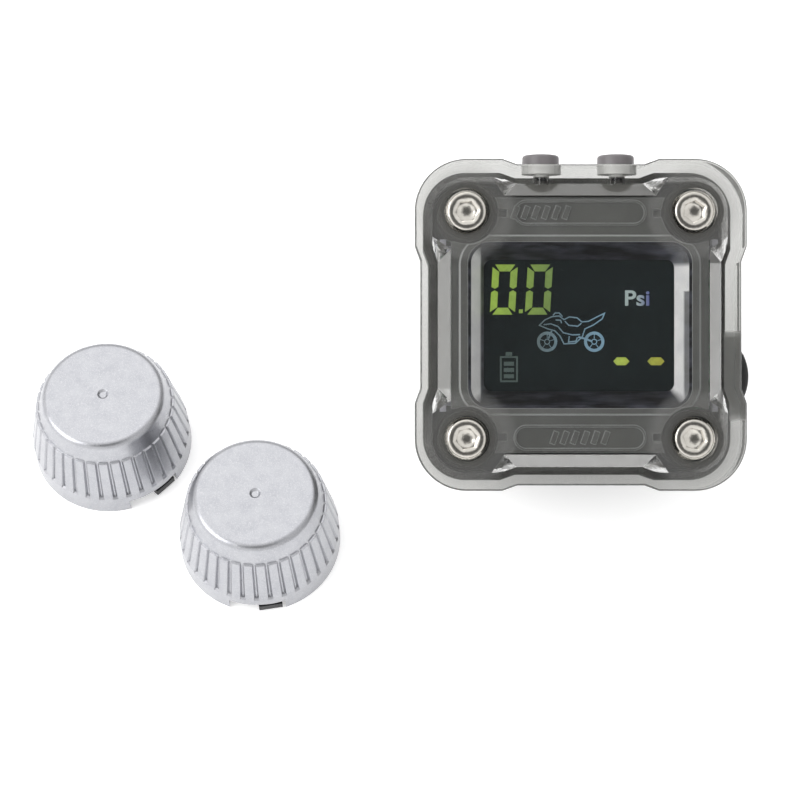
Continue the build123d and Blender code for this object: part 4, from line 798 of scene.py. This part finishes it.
def valve_inserts():
    """The brass insert of each sensor, threaded for a tyre valve, with a waist between two
    knurled bands that grip its plastic."""
    for wheel in ("front", "rear"):
        low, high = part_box(f"{wheel}_valve_insert")
        middle = (low + high) / 2
        foot = Matrix.Translation(Vector((middle.x, middle.y, low.z)))
        tall = (high.z - low.z) / MM
        wide = (high.x - low.x) / 2 / MM
        grip = knurl(wide, wide - INSERT_KNURL)
        waist = wide - INSERT_WAIST
        bore = [(0.0, VALVE_FOOT)] + thread_rows(0.35, tall - 0.5, VALVE_INNER, VALVE_OUTER, VALVE_PITCH)
        top = [(tall, 3.75), (tall, wide - 0.2), (tall - 0.2, wide - 0.04)]
        sides = [(tall - 0.3, grip), (tall * 0.58, grip), (tall * 0.56, waist), (tall * 0.48, waist),
                 (tall * 0.46, grip), (0.3, grip)]
        edge = [(0.2, wide - 0.04), (0.0, wide - 0.2)]
        vertices, faces = turned(foot, bore + top + sides + edge, closed=True)
        insert = piece(f"{wheel}_threaded_insert", vertices, faces, FINISHES["brass"], f"{wheel}_sensor",
                       "brass", smooth=True)
        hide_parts(f"{wheel}_valve_insert")


def chamfered_blocks(places, size, chamfer):
    """Boxes of one size with chamfered edges; a place is a matrix at the middle of the underside."""
    vertices, faces = [], []
    for place in places:
        shape = bmesh.new()
        lift = Matrix.Translation((0, 0, size[2] * MM / 2))
        scale = Matrix.Diagonal((size[0] * MM, size[1] * MM, size[2] * MM, 1))
        bmesh.ops.create_cube(shape, size=1.0, matrix=place @ lift @ scale)
        bmesh.ops.bevel(shape, geom=list(shape.edges), offset=chamfer * MM, segments=1, affect="EDGES")
        shape.verts.index_update()
        faces += [[len(vertices) + v.index for v in f.verts] for f in shape.faces]
        vertices += [v.co.copy() for v in shape.verts]
        shape.free()
    return vertices, faces


# The angle of each small part round the cell, in degrees, and its length.
SMALL_PARTS = ((20, 1.0), (38, 1.0), (58, 0.6), (122, 0.6), (142, 1.0), (160, 1.0), (201, 1.0), (222, 0.6),
               (240, 1.0), (302, 0.6), (322, 1.0), (341, 1.0))
SMALL_PART_RING = 8.85
SENSOR_HEADING = {"front": 0.0, "rear": 37.0}


def sensor_board_parts():
    """The small resistors and capacitors round each cell."""
    for wheel in ("front", "rear"):
        low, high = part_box(f"{wheel}_circuit_board")
        middle = Vector(((low.x + high.x) / 2, (low.y + high.y) / 2, high.z))
        bodies, ends = ([], []), ([], [])
        for angle, length in SMALL_PARTS:
            turned_by = math.radians(angle + SENSOR_HEADING[wheel])
            turn = Matrix.Translation(middle) @ Matrix.Rotation(turned_by, 4, "Z")
            seat = turn @ Matrix.Translation(Vector((SMALL_PART_RING, 0, 0)) * MM)
            body = chamfered_blocks([seat], (0.5, length * 0.6, 0.35), 0.03)
            tips = [seat @ Matrix.Translation(Vector((0, side * length * 0.4, 0)) * MM) for side in (-1, 1)]
            tip = chamfered_blocks(tips, (0.54, length * 0.24, 0.39), 0.05)
            for store, made in ((bodies, body), (ends, tip)):
                store[1].extend([[len(store[0]) + i for i in face] for face in made[1]])
                store[0].extend(made[0])
        piece(f"{wheel}_chip_bodies", *bodies, FINISHES["chip_resin"], f"{wheel}_sensor", "chip_resin")
        piece(f"{wheel}_chip_ends", *ends, FINISHES["shield_can"], f"{wheel}_sensor", "shield_can")


shown_pressure()
shown_tyre_marks()
shown_battery()
shown_cycle()
shown_unit()
sensor_board_parts()
case_screws()
button_springs()
valve_inserts()


# ---------------------------------------------------------------------------
# Stage, light and camera

# The camera looks straight into the face, from a place in the receiver's frame.
CAMERA_PLACE = (-29.9, -12.43, 389.8)
CAMERA_LENS = 100.67
CAMERA_SENSOR = 36.0
FLOOR_HALF = 3.0
FLOOR_GAP = 0.00005
# The room's brightness from its dimmest side, at 0, to its brightest, at 1.
ROOM_BRIGHT_SIDE = (-0.75, -0.55, 0.35)
ROOM_LIGHT = ((0.0, 0.35), (0.25, 0.7), (0.5, 1.0), (0.75, 1.15), (1.0, 1.4))
# How far the room is dimmed round the lens: cosine from, cosine to, factor from, factor to.
LENS_SHADE = (0.90, 0.98, 1.0, 0.12)


def stage_floor():
    mesh = bpy.data.meshes.new("floor")
    corners = [(-FLOOR_HALF, -FLOOR_HALF, 0), (FLOOR_HALF, -FLOOR_HALF, 0),
               (FLOOR_HALF, FLOOR_HALF, 0), (-FLOOR_HALF, FLOOR_HALF, 0)]
    mesh.from_pydata([Vector(c) - Vector((0, 0, FLOOR_GAP)) for c in corners], [], [(0, 1, 2, 3)])
    floor = bpy.data.objects.new("floor", mesh)
    bpy.context.scene.collection.objects.link(floor)
    finish = Finish("floor_paper", Specular_IOR_Level=0.1)
    finish.set("Base Color", finish.mix(finish.noise(40.0), rgb(248, 248, 248), rgb(251, 251, 251)))
    finish.set("Roughness", 0.8)
    finish.set("Emission Color", rgb(255, 255, 255))
    finish.set("Emission Strength", 0.4)
    mesh.materials.append(finish.material)


def area_light(name, place, aim, size, power):
    lamp = bpy.data.lights.new(name, "AREA")
    lamp.shape = "RECTANGLE"
    lamp.size, lamp.size_y = size
    lamp.energy = power
    thing = bpy.data.objects.new(name, lamp)
    bpy.context.scene.collection.objects.link(thing)
    thing.location = place
    thing.rotation_mode = "QUATERNION"
    thing.rotation_quaternion = (Vector(aim) - Vector(place)).to_track_quat("-Z", "Y")


def world_light():
    """A soft white room: brightest ahead on the left, dim behind on the right and round the lens."""
    world = bpy.data.worlds.new("studio")
    bpy.context.scene.world = world
    world.use_nodes = True
    tree = world.node_tree
    tree.nodes.clear()
    output = tree.nodes.new("ShaderNodeOutputWorld")
    background = tree.nodes.new("ShaderNodeBackground")
    direction = tree.nodes.new("ShaderNodeTexCoord").outputs["Generated"]

    def towards(vector):
        node = tree.nodes.new("ShaderNodeVectorMath")
        node.operation = "DOT_PRODUCT"
        tree.links.new(direction, node.inputs[0])
        node.inputs[1].default_value = vector
        return node.outputs["Value"]

    def spread(value, from_low, from_high, to_low, to_high, kind="LINEAR"):
        node = tree.nodes.new("ShaderNodeMapRange")
        node.interpolation_type = kind
        tree.links.new(value, node.inputs["Value"])
        for socket, number in zip(("From Min", "From Max", "To Min", "To Max"),
                                  (from_low, from_high, to_low, to_high)):
            node.inputs[socket].default_value = number
        return node.outputs[0]

    room = tree.nodes.new("ShaderNodeValToRGB")
    while len(room.color_ramp.elements) < len(ROOM_LIGHT):
        room.color_ramp.elements.new(0.5)
    brightest = max(value for _, value in ROOM_LIGHT)
    for element, (position, value) in zip(room.color_ramp.elements, ROOM_LIGHT):
        element.position = position
        element.color = (value / brightest,) * 3 + (1,)
    tree.links.new(spread(towards(Vector(ROOM_BRIGHT_SIDE).normalized()), -1, 1, 0, 1), room.inputs[0])
    shade = spread(towards(OUT), *LENS_SHADE, kind="SMOOTHSTEP")
    dimmed = tree.nodes.new("ShaderNodeVectorMath")
    dimmed.operation = "SCALE"
    tree.links.new(room.outputs[0], dimmed.inputs[0])
    tree.links.new(shade, dimmed.inputs["Scale"])
    tree.links.new(dimmed.outputs[0], background.inputs["Color"])
    background.inputs["Strength"].default_value = brightest
    tree.links.new(background.outputs[0], output.inputs[0])


def studio_camera():
    data = bpy.data.cameras.new("camera")
    data.lens = CAMERA_LENS
    data.sensor_width = CAMERA_SENSOR
    data.clip_start = 0.01
    data.clip_end = 20.0
    camera = bpy.data.objects.new("camera", data)
    bpy.context.scene.collection.objects.link(camera)
    camera.matrix_world = FACE @ Matrix.Translation(Vector(CAMERA_PLACE) * MM)
    bpy.context.scene.camera = camera


stage_floor()
world_light()
area_light("key_left", (-0.50, -0.14, 0.53), (0, 0, 0.02), (0.4, 0.4), 1.9)
area_light("top_soft", (-0.1, 0.42, 0.7), (0, 0, 0), (0.9, 0.55), 1.3)
studio_camera()
bpy.context.scene.view_settings.view_transform = "Standard"
